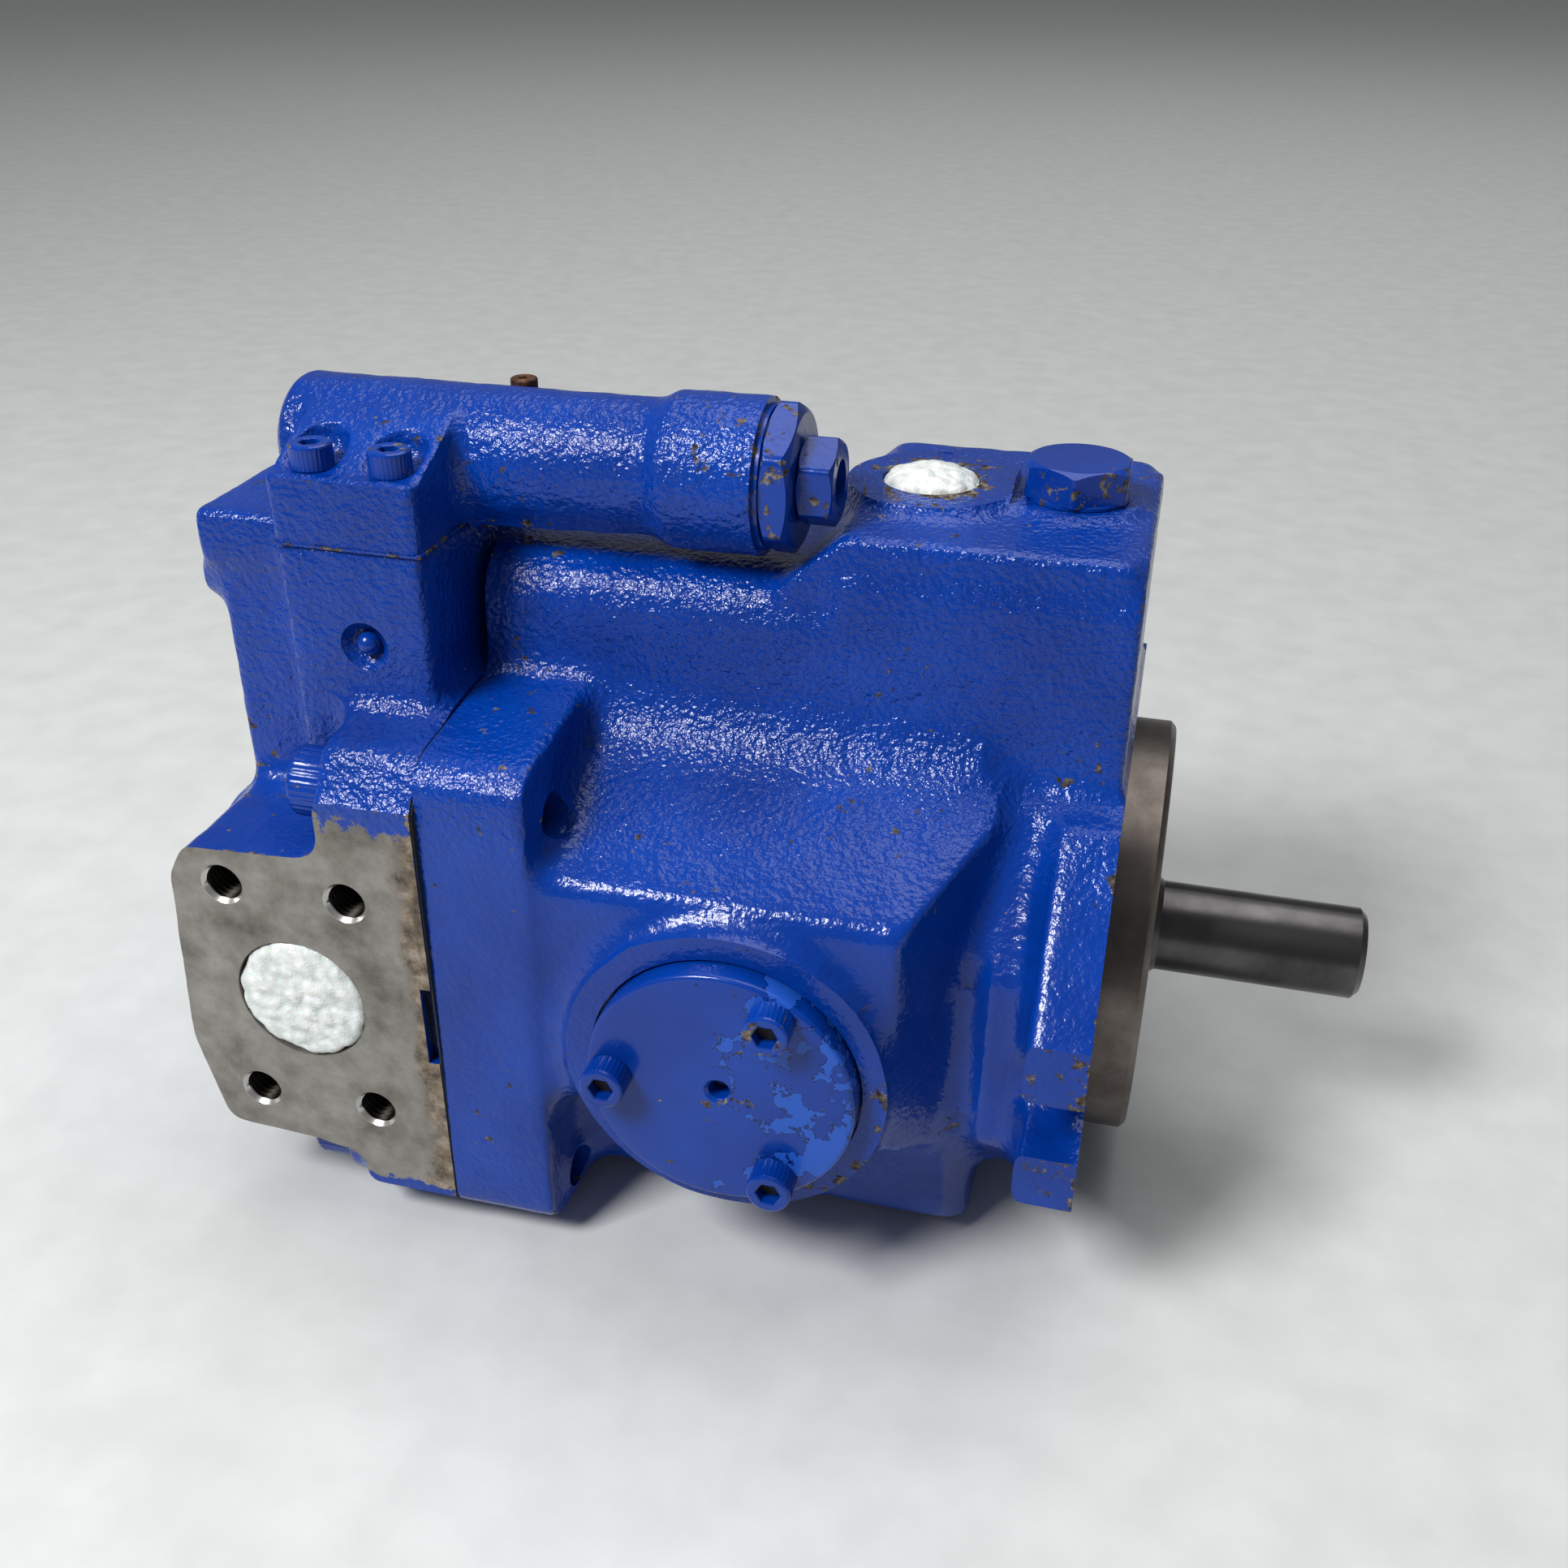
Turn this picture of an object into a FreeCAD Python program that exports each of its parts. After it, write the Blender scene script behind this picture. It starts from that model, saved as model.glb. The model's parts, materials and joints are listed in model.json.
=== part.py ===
import FreeCAD, Part
import math
import os

# Axial piston pump with a tilting yoke, pressure compensator and two-bolt mounting flange.
# The origin is on the shaft axis at the mounting face, +X leaves along the shaft, +Z is up,
# and the suction port faces -Y. Millimetres. The yoke is drawn at its resting full-stroke tilt.

V = FreeCAD.Vector
AXES = {"x": V(1, 0, 0), "y": V(0, 1, 0), "z": V(0, 0, 1)}

# mounting end
PILOT_R = 50.8
PILOT_LENGTH = 9.7
FLANGE_THICK = 13.0
BOLT_HALF_SPAN = 73.0
BOLT_SLOT_R = 7.15
EAR_TIP = 92.0
SHAFT_R = 11.11
SHAFT_TIP = 60.0

# castings
JOINT_X = -145.0
GASKET_THICK = 0.4
BODY_FRONT_Y = 80.0
BOSS_TOP_Z = 109.5
BODY_BOTTOM_Z = -60.0

# yoke, pistons and barrel
YOKE_X = -76.5
YOKE_TILT = 15.0
PISTON_COUNT = 9
BARREL_PITCH_R = 32.0
PISTON_R = 8.25
BORE_R = 9.1
BALL_CIRCLE_R = 2 * BARREL_PITCH_R / (1 + math.cos(math.radians(YOKE_TILT)))
BALL_R = 4.85
SOCKET_R = 5.1
SHOE_FACE = 6.0
BARREL_R = 45.0
BARREL_FRONT_X = -96.0
BARREL_REAR_X = -141.0
VALVE_PLATE_THICK = 3.9
VALVE_PLATE_PIN_Z = 40.5

# yoke trunnions and their covers
PINTLE_R = 12.7
TRUNNION_BORE_R = 19.0
COVER_R = 30.0
COVER_FACE_Y = 89.0
COVER_SCREW_R = 24.5
COVER_SCREW_ANGLES = (180, 61, -59)

# ports
PORT_X = -178.5
PORT_FACE_Y = 83.0
SUCTION_R = 16.0
SUCTION_SPACING = (30.2, 58.7)
DISCHARGE_R = 12.5
DISCHARGE_SPACING = (26.2, 52.4)
PORT_THREAD_R = 4.25
PASSAGE_BALL_X = -163.5
PASSAGE_BALL_Z = 81.0
PASSAGE_BALL_R = 2.6
DRAIN_X = -51.5
DRAIN_R = 11.0
PLUG_X = -19.0
PLUG_BOSS_Z = 108.5

# control piston and bias spring above the barrel
CONTROL_Z = 72.0
CONTROL_R = 10.0
CONTROL_NOSE_R = 7.0
ARM_LEFT = -6.0
ARM_RIGHT = 8.0
ARM_ROOT_Z = 54.5
NOSE_GAP = 0.3

# compensator valve on top
VALVE_Y = -26.5
VALVE_Z = 115.6
VALVE_R = 14.6
VALVE_COLLAR_R = 16.8
VALVE_REAR_X = -191.0
VALVE_COLLAR_X = -106.0
VALVE_FRONT_X = -82.0
VALVE_SEAT_Z = 103.0
VALVE_FOOT_TOP_Z = 118.0
VALVE_FOOT = [(-182, -60), (-148, -60), (-148, -3), (-182, -3)]
SPOOL_R = 4.2


def box(x0, x1, y0, y1, z0, z1):
    return Part.makeBox(x1 - x0, y1 - y0, z1 - z0, V(x0, y0, z0))


def rod(axis, start, end, radius, a=0.0, b=0.0):
    """A cylinder along an axis from start to end; a and b are its two other coordinates in order."""
    base = {"x": V(start, a, b), "y": V(a, start, b), "z": V(a, b, start)}[axis]
    return Part.makeCylinder(radius, end - start, base, AXES[axis])


def tube(axis, start, end, outer, inner, a=0.0, b=0.0):
    return rod(axis, start, end, outer, a, b).cut(rod(axis, start, end, inner, a, b))


def turned(profile, y=0.0, z=0.0):
    """A solid turned about a line along X; profile is a run of (x, radius), closed on the line."""
    points = [V(profile[0][0], y, z)]
    points += [V(x, y, z + r) for x, r in profile]
    points += [V(profile[-1][0], y, z), points[0]]
    distinct = [points[0]]
    for point in points[1:]:
        if point.distanceToPoint(distinct[-1]) > 1e-6:
            distinct.append(point)
    return Part.Face(Part.makePolygon(distinct)).revolve(V(0, y, z), V(1, 0, 0), 360)


def in_plane(axis, u, v, depth):
    """The point with coordinates u, v in the plane square to an axis, at a depth along it."""
    return {"x": V(depth, u, v), "y": V(u, depth, v), "z": V(u, v, depth)}[axis]


def prism(axis, points, start, end, radius=0.0):
    """An outline with corners rounded to one radius, drawn square to an axis and made thick."""
    corners = [in_plane(axis, u, v, start) for u, v in points]
    edges = []
    cuts = []
    for n, corner in enumerate(corners):
        before = corners[n - 1].sub(corner)
        after = corners[(n + 1) % len(corners)].sub(corner)
        half = before.getAngle(after) / 2
        back = radius / math.tan(half)
        back = min(back, 0.49 * before.Length, 0.49 * after.Length)
        real = back * math.tan(half)
        first = corner + before.normalize() * back
        last = corner + after.normalize() * back
        centre_way = (before + after).normalize()
        middle = corner + centre_way * (real / math.sin(half) - real)
        cuts.append((first, middle, last))
    for n, (first, middle, last) in enumerate(cuts):
        if radius > 0:
            edges.append(Part.Arc(first, middle, last).toShape())
        start_next = cuts[(n + 1) % len(cuts)][0]
        if last.distanceToPoint(start_next) > 1e-6:
            edges.append(Part.makeLine(last, start_next))
    face = Part.Face(Part.Wire(edges))
    return face.extrude(AXES[axis] * (end - start))


def hexagon(axis, start, end, across_flats, a=0.0, b=0.0):
    """A hexagonal bar along an axis with a flat-to-flat width."""
    corner_r = across_flats / math.sqrt(3)
    turns = [math.radians(60 * n + 30) for n in range(6)]
    points = [(a + corner_r * math.cos(t), b + corner_r * math.sin(t)) for t in turns]
    return prism(axis, points, start, end)


def around(shape, count, centre=V(0, 0, 0), axis=V(1, 0, 0), first=0.0):
    """Copies of a shape turned evenly about an axis."""
    copies = []
    for n in range(count):
        copy = shape.copy()
        copy.rotate(centre, axis, first + 360.0 * n / count)
        copies.append(copy)
    return copies


def fused(shapes):
    return shapes[0].multiFuse(shapes[1:]).removeSplitter()


def mirrored(shape):
    """The same shape on the other side of the pump, across the XZ plane."""
    return shape.mirror(V(0, 0, 0), V(0, 1, 0))


def slotted_ring(radius, half_width, half_angle, start, end, turn):
    """A kidney slot: part of a ring about the shaft axis, centred on a turn from +Y towards +Z."""
    ring = tube("x", start, end, radius + half_width, radius - half_width)
    span = math.radians(half_angle)
    far = 3 * radius
    wedge = [(0.0, 0.0), (far * math.cos(span), -far * math.sin(span)), (far * 1.5, 0.0)]
    wedge.append((far * math.cos(span), far * math.sin(span)))
    slot = ring.common(prism("x", wedge, start, end))
    for side in (-span, span):
        y = radius * math.cos(side)
        z = radius * math.sin(side)
        slot = slot.fuse(rod("x", start, end, half_width, y, z))
    slot = slot.removeSplitter()
    slot.rotate(V(0, 0, 0), V(1, 0, 0), turn)
    return slot


def cap_screw(position, direction, thread_r, length, head_r, head_height, socket_flats):
    """A socket head cap screw seated at a position, its head standing out along a direction."""
    profile = [(-length, thread_r - 0.5), (-length + 0.6, thread_r), (0, thread_r), (0, head_r)]
    profile += [(head_height - 0.6, head_r), (head_height, head_r - 0.6)]
    screw = turned(profile)
    screw = screw.cut(hexagon("x", head_height * 0.4, head_height, socket_flats))
    screw.Placement = FreeCAD.Placement(position, FreeCAD.Rotation(V(1, 0, 0), direction))
    return screw


def tilted(shape):
    """A yoke-borne shape moved from neutral to its resting tilt about the trunnion axis."""
    copy = shape.copy()
    copy.rotate(V(YOKE_X, 0, 0), V(0, 1, 0), -YOKE_TILT)
    return copy


def on_both_sides(shape):
    return [shape, mirrored(shape)]


# --- housing ---------------------------------------------------------------------------------

FLANGE_OUTLINE = [(-83, -54), (-76, -58), (-50, -61), (50, -61), (76, -58), (83, -54)]
FLANGE_OUTLINE += [(81, 60), (76, 65), (46, 68), (-46, 68), (-76, 65), (-81, 60)]
BODY_OUTLINE = [(-80, 40), (-80, -17), (-63, -27), (-61, -52), (-46, -63), (46, -63)]
BODY_OUTLINE += [(61, -52), (63, -27), (80, -17), (80, 40), (38, 61), (-38, 61)]
BODY_PLAN = [(-123, -81), (-41, -81), (-25, -52), (-25, 52), (-41, 81), (-123, 81)]
UPPER_OUTLINE = [(-39.6, 50), (39.6, 50), (37.5, 96), (-37.5, 96)]
TALL_OUTLINE = [(-41, 20), (41, 20), (37, 107), (-37, 107)]
HUB_OUTLINE = [(-66, -22), (-46, -44), (46, -44), (66, -22), (66, 22), (44, 56), (-44, 56), (-66, 22)]
EAR_OUTLINE = [(-EAR_TIP, -13), (-86, -19), (-46, -46), (46, -46), (86, -19), (EAR_TIP, -13)]
EAR_OUTLINE += [(EAR_TIP, 13), (86, 20), (50, 54), (-50, 54), (-86, 20), (-EAR_TIP, 13)]
HOUSING_BOLTS = [(-69, 51), (69, 51), (-69, -49), (69, -49)]
CHAMBER_R = 50.0
CHAMBER_END_X = -44.0
BEARING_X = (-34.0, -15.0)
BEARING_R = 36.0


def casting_outside():
    """The cast body: joint flange, shelf-sided body, tall front end, hub, ears and bosses."""
    pieces = [prism("x", FLANGE_OUTLINE, JOINT_X + GASKET_THICK / 2, -120, 5)]
    plan = prism("z", BODY_PLAN, -70, 70, 6)
    pieces.append(prism("x", BODY_OUTLINE, -122, -24, 6).common(plan))
    pieces.append(prism("x", UPPER_OUTLINE, JOINT_X + GASKET_THICK / 2, -60, 12))
    pieces.append(prism("y", [(-78, 60), (-78, 95), (-64, 107), (-2, 107), (-2, 60)], -36, 36, 5))
    pieces.append(prism("x", TALL_OUTLINE, -65, -1, 13))
    pieces.append(prism("x", HUB_OUTLINE, -24, -6, 9))
    pieces.append(rod("x", -40, -20, 55))
    pieces.append(prism("x", EAR_OUTLINE, -FLANGE_THICK, 0, 4))
    pieces.append(rod("x", -FLANGE_THICK, 0, 56))
    pieces += on_both_sides(rod("y", -84, -56, 36, YOKE_X, 0))
    pieces.append(rod("z", 90, BOSS_TOP_Z, 18.8, DRAIN_X, 0))
    pieces.append(rod("z", 90, PLUG_BOSS_Z, 12.9, PLUG_X, 0))
    pieces.append(box(DRAIN_X, PLUG_X, -6, 6, 95, PLUG_BOSS_Z))
    return fused(pieces)


def casting_inside():
    """The chamber, the yoke's side room, the control room above, and every bore and slot."""
    seat_x = BEARING_X[0]
    cuts = [rod("x", JOINT_X - 1, CHAMBER_END_X, CHAMBER_R)]
    cuts.append(box(-104, CHAMBER_END_X, -58.5, 58.5, -27, 27))
    cuts.append(prism("x", [(-22, 30), (22, 30), (22, 90), (-22, 90)], JOINT_X - 1, -30, 8))
    cuts.append(rod("x", CHAMBER_END_X - 1, seat_x + 1, 24))
    cuts.append(rod("x", seat_x, PILOT_LENGTH + 1, BEARING_R))
    cuts.append(tube("x", -14.5, -12.5, BEARING_R + 1.5, BEARING_R - 1))
    cuts.append(tube("x", 4.2, 6.2, BEARING_R + 1.5, BEARING_R - 1))
    cuts += on_both_sides(rod("y", -85, -58, TRUNNION_BORE_R, YOKE_X, 0))
    cuts += on_both_sides(rod("y", -85, -BODY_FRONT_Y, COVER_R + 0.6, YOKE_X, 0))
    cuts.append(rod("z", 80, BOSS_TOP_Z + 1, DRAIN_R, DRAIN_X, 0))
    cuts.append(rod("z", 80, BOSS_TOP_Z + 1, 8.2, PLUG_X, 0))
    for side in (-1, 1):
        cuts.append(rod("x", -FLANGE_THICK - 1, 1, BOLT_SLOT_R, side * BOLT_HALF_SPAN, 0))
        ends = sorted([side * BOLT_HALF_SPAN, side * (EAR_TIP + 2)])
        cuts.append(box(-FLANGE_THICK - 1, 1, ends[0], ends[1], -BOLT_SLOT_R, BOLT_SLOT_R))
        for angle in COVER_SCREW_ANGLES:
            cuts.append(cover_screw_hole(angle, side))
    for y, z in HOUSING_BOLTS:
        cuts.append(rod("x", JOINT_X - 1, -119, 5.1, y, z))
    return cuts


def cover_screw_place(angle):
    """Where a cover screw's axis stands, as x and z."""
    turn = math.radians(angle)
    return YOKE_X + COVER_SCREW_R * math.cos(turn), COVER_SCREW_R * math.sin(turn)


def cover_screw_hole(angle, side):
    x, z = cover_screw_place(angle)
    ends = sorted([side * 62, side * 85])
    return rod("y", ends[0], ends[1], 3.05, x, z)


def housing():
    pilot = turned([(-1, PILOT_R), (PILOT_LENGTH - 1.2, PILOT_R), (PILOT_LENGTH, PILOT_R - 1.2)])
    body = casting_outside().fuse(pilot)
    return body.cut(casting_inside()).removeSplitter()


# --- port block ------------------------------------------------------------------------------

PORT_PAD = [(-209.7, -16), (-204, -41), (-178, -42.5), (-160, -44), (-160, 40), (-202, 38), (-206.5, 30)]
BLOCK_FLANGE = [(-83, -54), (-76, -58), (-50, -60), (50, -60), (76, -58), (83, -54)]
BLOCK_FLANGE += [(83, 54), (76, 65), (46, 68), (-46, 68), (-76, 65), (-83, 54)]
PRY_SLOT_WIDTH = 2.6
PRY_SLOT_Y = 80.0
PRY_SLOT_Z = (-12, 9)


def port_block_outside():
    """The cast rear block: joint plate, port pads on both sides, rear mass and valve pedestal."""
    plate_rear = -168.0
    pieces = [prism("x", BLOCK_FLANGE, plate_rear, JOINT_X - GASKET_THICK / 2, 5)]
    pieces += on_both_sides(prism("y", PORT_PAD, -PORT_FACE_Y, -50, 4))
    pieces.append(prism("x", [(-62, -52), (62, -52), (62, 34), (-62, 34)], -208, -160, 10))
    pieces.append(prism("x", [(-50, 20), (34, 20), (34, 100), (-50, 100)], -203.5, -160, 6))
    pieces.append(prism("x", [(-51, 92), (35, 92), (35, 105), (-51, 105)], -207, -160, 2))
    pieces.append(prism("z", VALVE_FOOT, 50, VALVE_SEAT_Z, 2))
    pieces.append(rod("x", -209.5, -200, 6.5, -42, 88))
    low_z = HOUSING_BOLTS[2][1]
    low_boss = rod("x", bolt_seat(low_z), -160, 10.5, -HOUSING_BOLTS[1][0], low_z)
    pieces += on_both_sides(low_boss)
    return fused(pieces)


def bolt_seat(z):
    """Where a bolt's head sits along X: the lower pair stand on bosses behind the joint plate."""
    return -168.0 if z > 0 else -176.0


def kidney_passages():
    cuts = []
    for turn in (180, 0):
        cuts.append(slotted_ring(BARREL_PITCH_R, 6, 58, -172, JOINT_X + 1, turn))
    return cuts


def rectangle_places(spacing):
    """The x, z offsets of a rectangular bolt pattern round the port axis."""
    return [(i * spacing[0] / 2, k * spacing[1] / 2) for i in (-1, 1) for k in (-1, 1)]


def port_block():
    cuts = kidney_passages()
    cuts.append(rod("y", -PORT_FACE_Y - 1, -14, SUCTION_R, PORT_X, 0))
    cuts.append(rod("y", 14, PORT_FACE_Y + 1, DISCHARGE_R, PORT_X, 0))
    for dx, dz in rectangle_places(SUCTION_SPACING):
        cuts.append(rod("y", -PORT_FACE_Y - 1, -60, PORT_THREAD_R, PORT_X + dx, dz))
    for dx, dz in rectangle_places(DISCHARGE_SPACING):
        cuts.append(rod("y", 60, PORT_FACE_Y + 1, PORT_THREAD_R, PORT_X + dx, dz))
    for y, z in HOUSING_BOLTS:
        cuts.append(rod("x", bolt_seat(z) - 1, JOINT_X + 1, 5.5, y, z))
        cuts.append(rod("x", -215, bolt_seat(z), 9.5, y, z))
    cuts.append(rod("x", -180, JOINT_X + 1, CONTROL_R + 0.05, 0, CONTROL_Z))
    cuts.append(rod("x", -166, JOINT_X + 1, 14.0))
    cuts.append(rod("z", CONTROL_Z, VALVE_SEAT_Z + 1, 2.2, CONTROL_PASSAGE_X, VALVE_Y))
    cuts.append(rod("y", VALVE_Y, -8, 2.2, CONTROL_PASSAGE_X, CONTROL_Z))
    cuts.append(rod("y", -61, -57.5, 4.8, PASSAGE_BALL_X, PASSAGE_BALL_Z))
    cuts.append(rod("y", -61, -50, PASSAGE_BALL_R + 0.02, PASSAGE_BALL_X, PASSAGE_BALL_Z))
    cuts.append(rod("x", JOINT_X - 5, JOINT_X, 2.03, 0, VALVE_PLATE_PIN_Z))
    for x, y in VALVE_SCREWS:
        cuts.append(rod("z", 88, VALVE_SEAT_Z + 1, 2.55, x, y))
    cuts.append(rod("x", -211, -206, 3.0, -42, 88))
    cuts.append(box(-182.6, -140, -60.6, -2.4, VALVE_SEAT_Z, 110))
    cuts.append(rod("x", VALVE_REAR_X - 1, -182, VALVE_R + 0.8, VALVE_Y, VALVE_Z))
    cuts.append(box(JOINT_X - PRY_SLOT_WIDTH, JOINT_X + 1, -90, -PRY_SLOT_Y, *PRY_SLOT_Z))
    return port_block_outside().cut(cuts).removeSplitter()


def passage_ball():
    """The steel ball pressed into the end of a drilled passage, in its spot-faced dimple."""
    return Part.makeSphere(PASSAGE_BALL_R, V(PASSAGE_BALL_X, -57.8, PASSAGE_BALL_Z))


def joint_gasket():
    """The flat sheet gasket between housing and port block, open where they are."""
    low = JOINT_X - GASKET_THICK / 2
    high = JOINT_X + GASKET_THICK / 2
    sheet = prism("x", [(y * 0.995, z * 0.995) for y, z in BLOCK_FLANGE], low, high, 5)
    sheet = sheet.cut([rod("x", low - 1, high + 1, CHAMBER_R)])
    holes = [rod("x", low - 1, high + 1, 5.6, y, z) for y, z in HOUSING_BOLTS]
    holes.append(prism("x", [(-22, 30), (22, 30), (22, 90), (-22, 90)], low - 1, high + 1, 8))
    return sheet.cut(holes)


def housing_bolts():
    bolts = []
    for y, z in HOUSING_BOLTS:
        seat = bolt_seat(z)
        bolts.append(cap_screw(V(seat, y, z), V(-1, 0, 0), 5.0, -124 - seat, 8.0, 10, 8))
    return Part.makeCompound(bolts)


# --- shaft line ------------------------------------------------------------------------------

SPLINE_TEETH = 12
SPLINE_ROOT_R = 11.0
SPLINE_TIP_R = 12.4
KEYWAY_START = 38.0
KEY_WIDTH = 6.35


def spline(start, end, grow=0.0):
    """A straight-sided spline; grow makes it larger all round for the hole that it slides in."""
    shape = rod("x", start, end, SPLINE_ROOT_R + grow)
    tooth = box(start, end, -1.6 - grow, 1.6 + grow, 0, SPLINE_TIP_R + grow)
    return fused([shape] + around(tooth, SPLINE_TEETH))


def drive_shaft():
    """Turned shaft: drive end with keyway, seal and bearing seats, spline and rear journal."""
    profile = [(-166, 8.4), (-165, 9.4), (-146, 9.4), (-140, 10.6), (-104.3, 10.6), (-104.3, 13)]
    profile += [(-44, 13), (-40, 18), (-34, 18), (-34, 15), (-15, 15), (-14, 12.6), (10, 12.6)]
    profile += [(12, SHAFT_R), (SHAFT_TIP - 1.5, SHAFT_R), (SHAFT_TIP, SHAFT_R - 1.5)]
    shaft = turned(profile).fuse(spline(-139, -104))
    keyway = box(KEYWAY_START, SHAFT_TIP + 1, SHAFT_R - 3.2, SHAFT_R + 1, -KEY_WIDTH / 2, KEY_WIDTH / 2)
    return shaft.cut(keyway).removeSplitter()


def ball_bearing():
    """The deep-groove front bearing as its outer ring, inner ring and balls."""
    x0, x1 = BEARING_X
    middle = (x0 + x1) / 2
    groove = Part.makeTorus(25.5, 6.3, V(middle, 0, 0), V(1, 0, 0))
    outer = tube("x", x0, x1, BEARING_R - 0.05, 29.5).cut(groove)
    inner = tube("x", x0, x1, 21.5, 15.03).cut(groove)
    ball = Part.makeSphere(5.95, V(middle, 0, 25.5))
    return outer, inner, Part.makeCompound(around(ball, 9))


def seal_carrier():
    body = turned([(-12.4, BEARING_R - 0.05), (4.1, BEARING_R - 0.05), (4.1, 30), (2, 28)])
    return body.cut([rod("x", -13, 5, 20), rod("x", -13, -8, 24)])


def shaft_seal():
    """The lip seal: an outer band with a sloping lip that rides on the shaft."""
    band = tube("x", -7.5, 2, 20, 17)
    lip = turned([(-6.6, 15), (-6, 17.4), (-3, 17.4), (-3, 14.2)])
    lip = lip.cut(rod("x", -8, 3, 12.85))
    return band.fuse([lip, tube("x", -0.5, 2, 17.5, 14)]).removeSplitter()


def retaining_ring(start):
    """A spring ring in a bore groove, with its gap and two plier eyes."""
    outer = BEARING_R + 1.4
    ring = tube("x", start, start + 1.8, outer, outer - 4.4)
    ring = ring.cut(box(start - 1, start + 3, -5, 5, -outer - 1, -outer + 6))
    eyes = []
    for side in (-1, 1):
        eye = rod("x", start, start + 1.8, 3.2, side * 8, -outer + 5)
        eyes.append(eye.cut(rod("x", start - 1, start + 3, 1.2, side * 8, -outer + 5)))
    return fused([ring] + eyes)


def rear_needle_bearing():
    """The rear journal's drawn cup with its needles."""
    cup = tube("x", -165.5, -147, 13.95, 12.6)
    needle = rod("x", -164, -148.5, 1.45, 0, 11.0)
    return Part.makeCompound([cup] + around(needle, 16))


# --- barrel, pistons, shoes ------------------------------------------------------------------

def cylinder_barrel():
    """The barrel: nine bores with end slots, a splined hole and a ball nose for the retainer."""
    x0, x1 = BARREL_REAR_X, BARREL_FRONT_X
    barrel = turned([(x0, BARREL_R - 1), (x0 + 1, BARREL_R), (x1 - 1, BARREL_R), (x1, BARREL_R - 1)])
    nose = rod("x", x1 - 1, -88.5, 17.2)
    barrel = barrel.fuse(nose)
    bore = rod("x", x0 + 5, x1 + 1, BORE_R, BARREL_PITCH_R, 0)
    slot = slotted_ring(BARREL_PITCH_R, 3, 9, x0 - 1, x0 + 6, 0)
    cuts = around(bore, PISTON_COUNT) + around(slot, PISTON_COUNT)
    cuts.append(spline(x0 + 1, -104, 0.05))
    cuts.append(rod("x", -104.5, -80, 13.1))
    cuts.append(rod("x", x0 - 1, x0 + 2, 12.8))
    return barrel.cut(cuts).removeSplitter()


def retainer_ball():
    """The half ball that slides on the shaft and presses the shoe retainer on to its shoes."""
    ball = Part.makeSphere(21.5, V(YOKE_X, 0, 0))
    kept = ball.common(box(-88.4, -78.6, -30, 30, -30, 30))
    return kept.cut(rod("x", -100, -50, 13.1))


def retainer_plate():
    """The drilled plate that holds every shoe against the yoke, drawn at the resting tilt."""
    left = YOKE_X - 1.0
    plate = tube("x", left - 2.6, YOKE_X + 2.2, 42, 22.1)
    plate = plate.cut(tube("x", left - 3, left, 43, 25))
    hole = rod("x", left - 4, YOKE_X + 3, 7.1, BALL_CIRCLE_R, 0)
    return tilted(plate.cut(around(hole, PISTON_COUNT)))


def ball_centre(number):
    """A piston ball's centre on the tilted yoke, for a piston counted from +Y towards +Z."""
    turn = 2 * math.pi * number / PISTON_COUNT
    place = V(YOKE_X, BALL_CIRCLE_R * math.cos(turn), BALL_CIRCLE_R * math.sin(turn))
    return FreeCAD.Placement(V(), FreeCAD.Rotation(V(0, 1, 0), -YOKE_TILT), V(YOKE_X, 0, 0)).multVec(place)


def piston(number):
    """A hollow piston with a ball end, standing in its bore."""
    profile = [(-48, 5.2), (-48, PISTON_R - 0.4), (-47.6, PISTON_R), (-9.5, PISTON_R), (-6.4, 4.6)]
    profile += [(-6.0, 3.0), (0, 3.0)]
    body = turned(profile).fuse(Part.makeSphere(BALL_R))
    body = body.cut([rod("x", -49, -16, 5.2), rod("x", -17, 6, 0.9)])
    body.translate(ball_centre(number))
    return body


def shoe(number):
    """A bronze slipper shoe: a socket round the ball on a flat foot with a groove and an oil hole."""
    lip_x = -2.6
    hole_r = 1.0
    outer = [(lip_x, 6.3), (-2.3, 6.6), (2.5, 6.6), (2.5, 9.6), (SHOE_FACE, 9.6), (SHOE_FACE, 7.6)]
    outer += [(SHOE_FACE - 0.5, 7.6), (SHOE_FACE - 0.5, 6.8), (SHOE_FACE, 6.8), (SHOE_FACE, hole_r)]
    first = math.asin(hole_r / SOCKET_R)
    last = math.acos(lip_x / SOCKET_R)
    arc = [V(SOCKET_R * math.cos(t), 0, SOCKET_R * math.sin(t)) for t in (first, (first + last) / 2, last)]
    run = [arc[2]] + [V(x, 0, r) for x, r in outer] + [arc[0]]
    edges = [Part.makeLine(a, b) for a, b in zip(run[:-1], run[1:])]
    edges.append(Part.Arc(*arc).toShape())
    cup = Part.Face(Part.Wire(edges)).revolve(V(), V(1, 0, 0), 360)
    cup.rotate(V(), V(0, 1, 0), -YOKE_TILT)
    cup.translate(ball_centre(number))
    return cup


def valve_plate():
    """The flat plate with suction and delivery slots that the barrel turns against."""
    start = JOINT_X - GASKET_THICK / 2
    end = start + VALVE_PLATE_THICK
    plate = tube("x", start, end, 44.5, 15)
    cuts = [slotted_ring(BARREL_PITCH_R, 4.5, 58, start - 1, end + 1, turn) for turn in (180, 0)]
    cuts.append(rod("x", start - 1, end + 1, 2.03, 0, VALVE_PLATE_PIN_Z))
    return plate.cut(cuts)


def valve_plate_pin():
    """The small dowel that keeps the valve plate from turning with the barrel."""
    return rod("x", JOINT_X - 4, BARREL_REAR_X - 0.8, 2.0, 0, VALVE_PLATE_PIN_Z)


# --- yoke ------------------------------------------------------------------------------------

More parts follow.
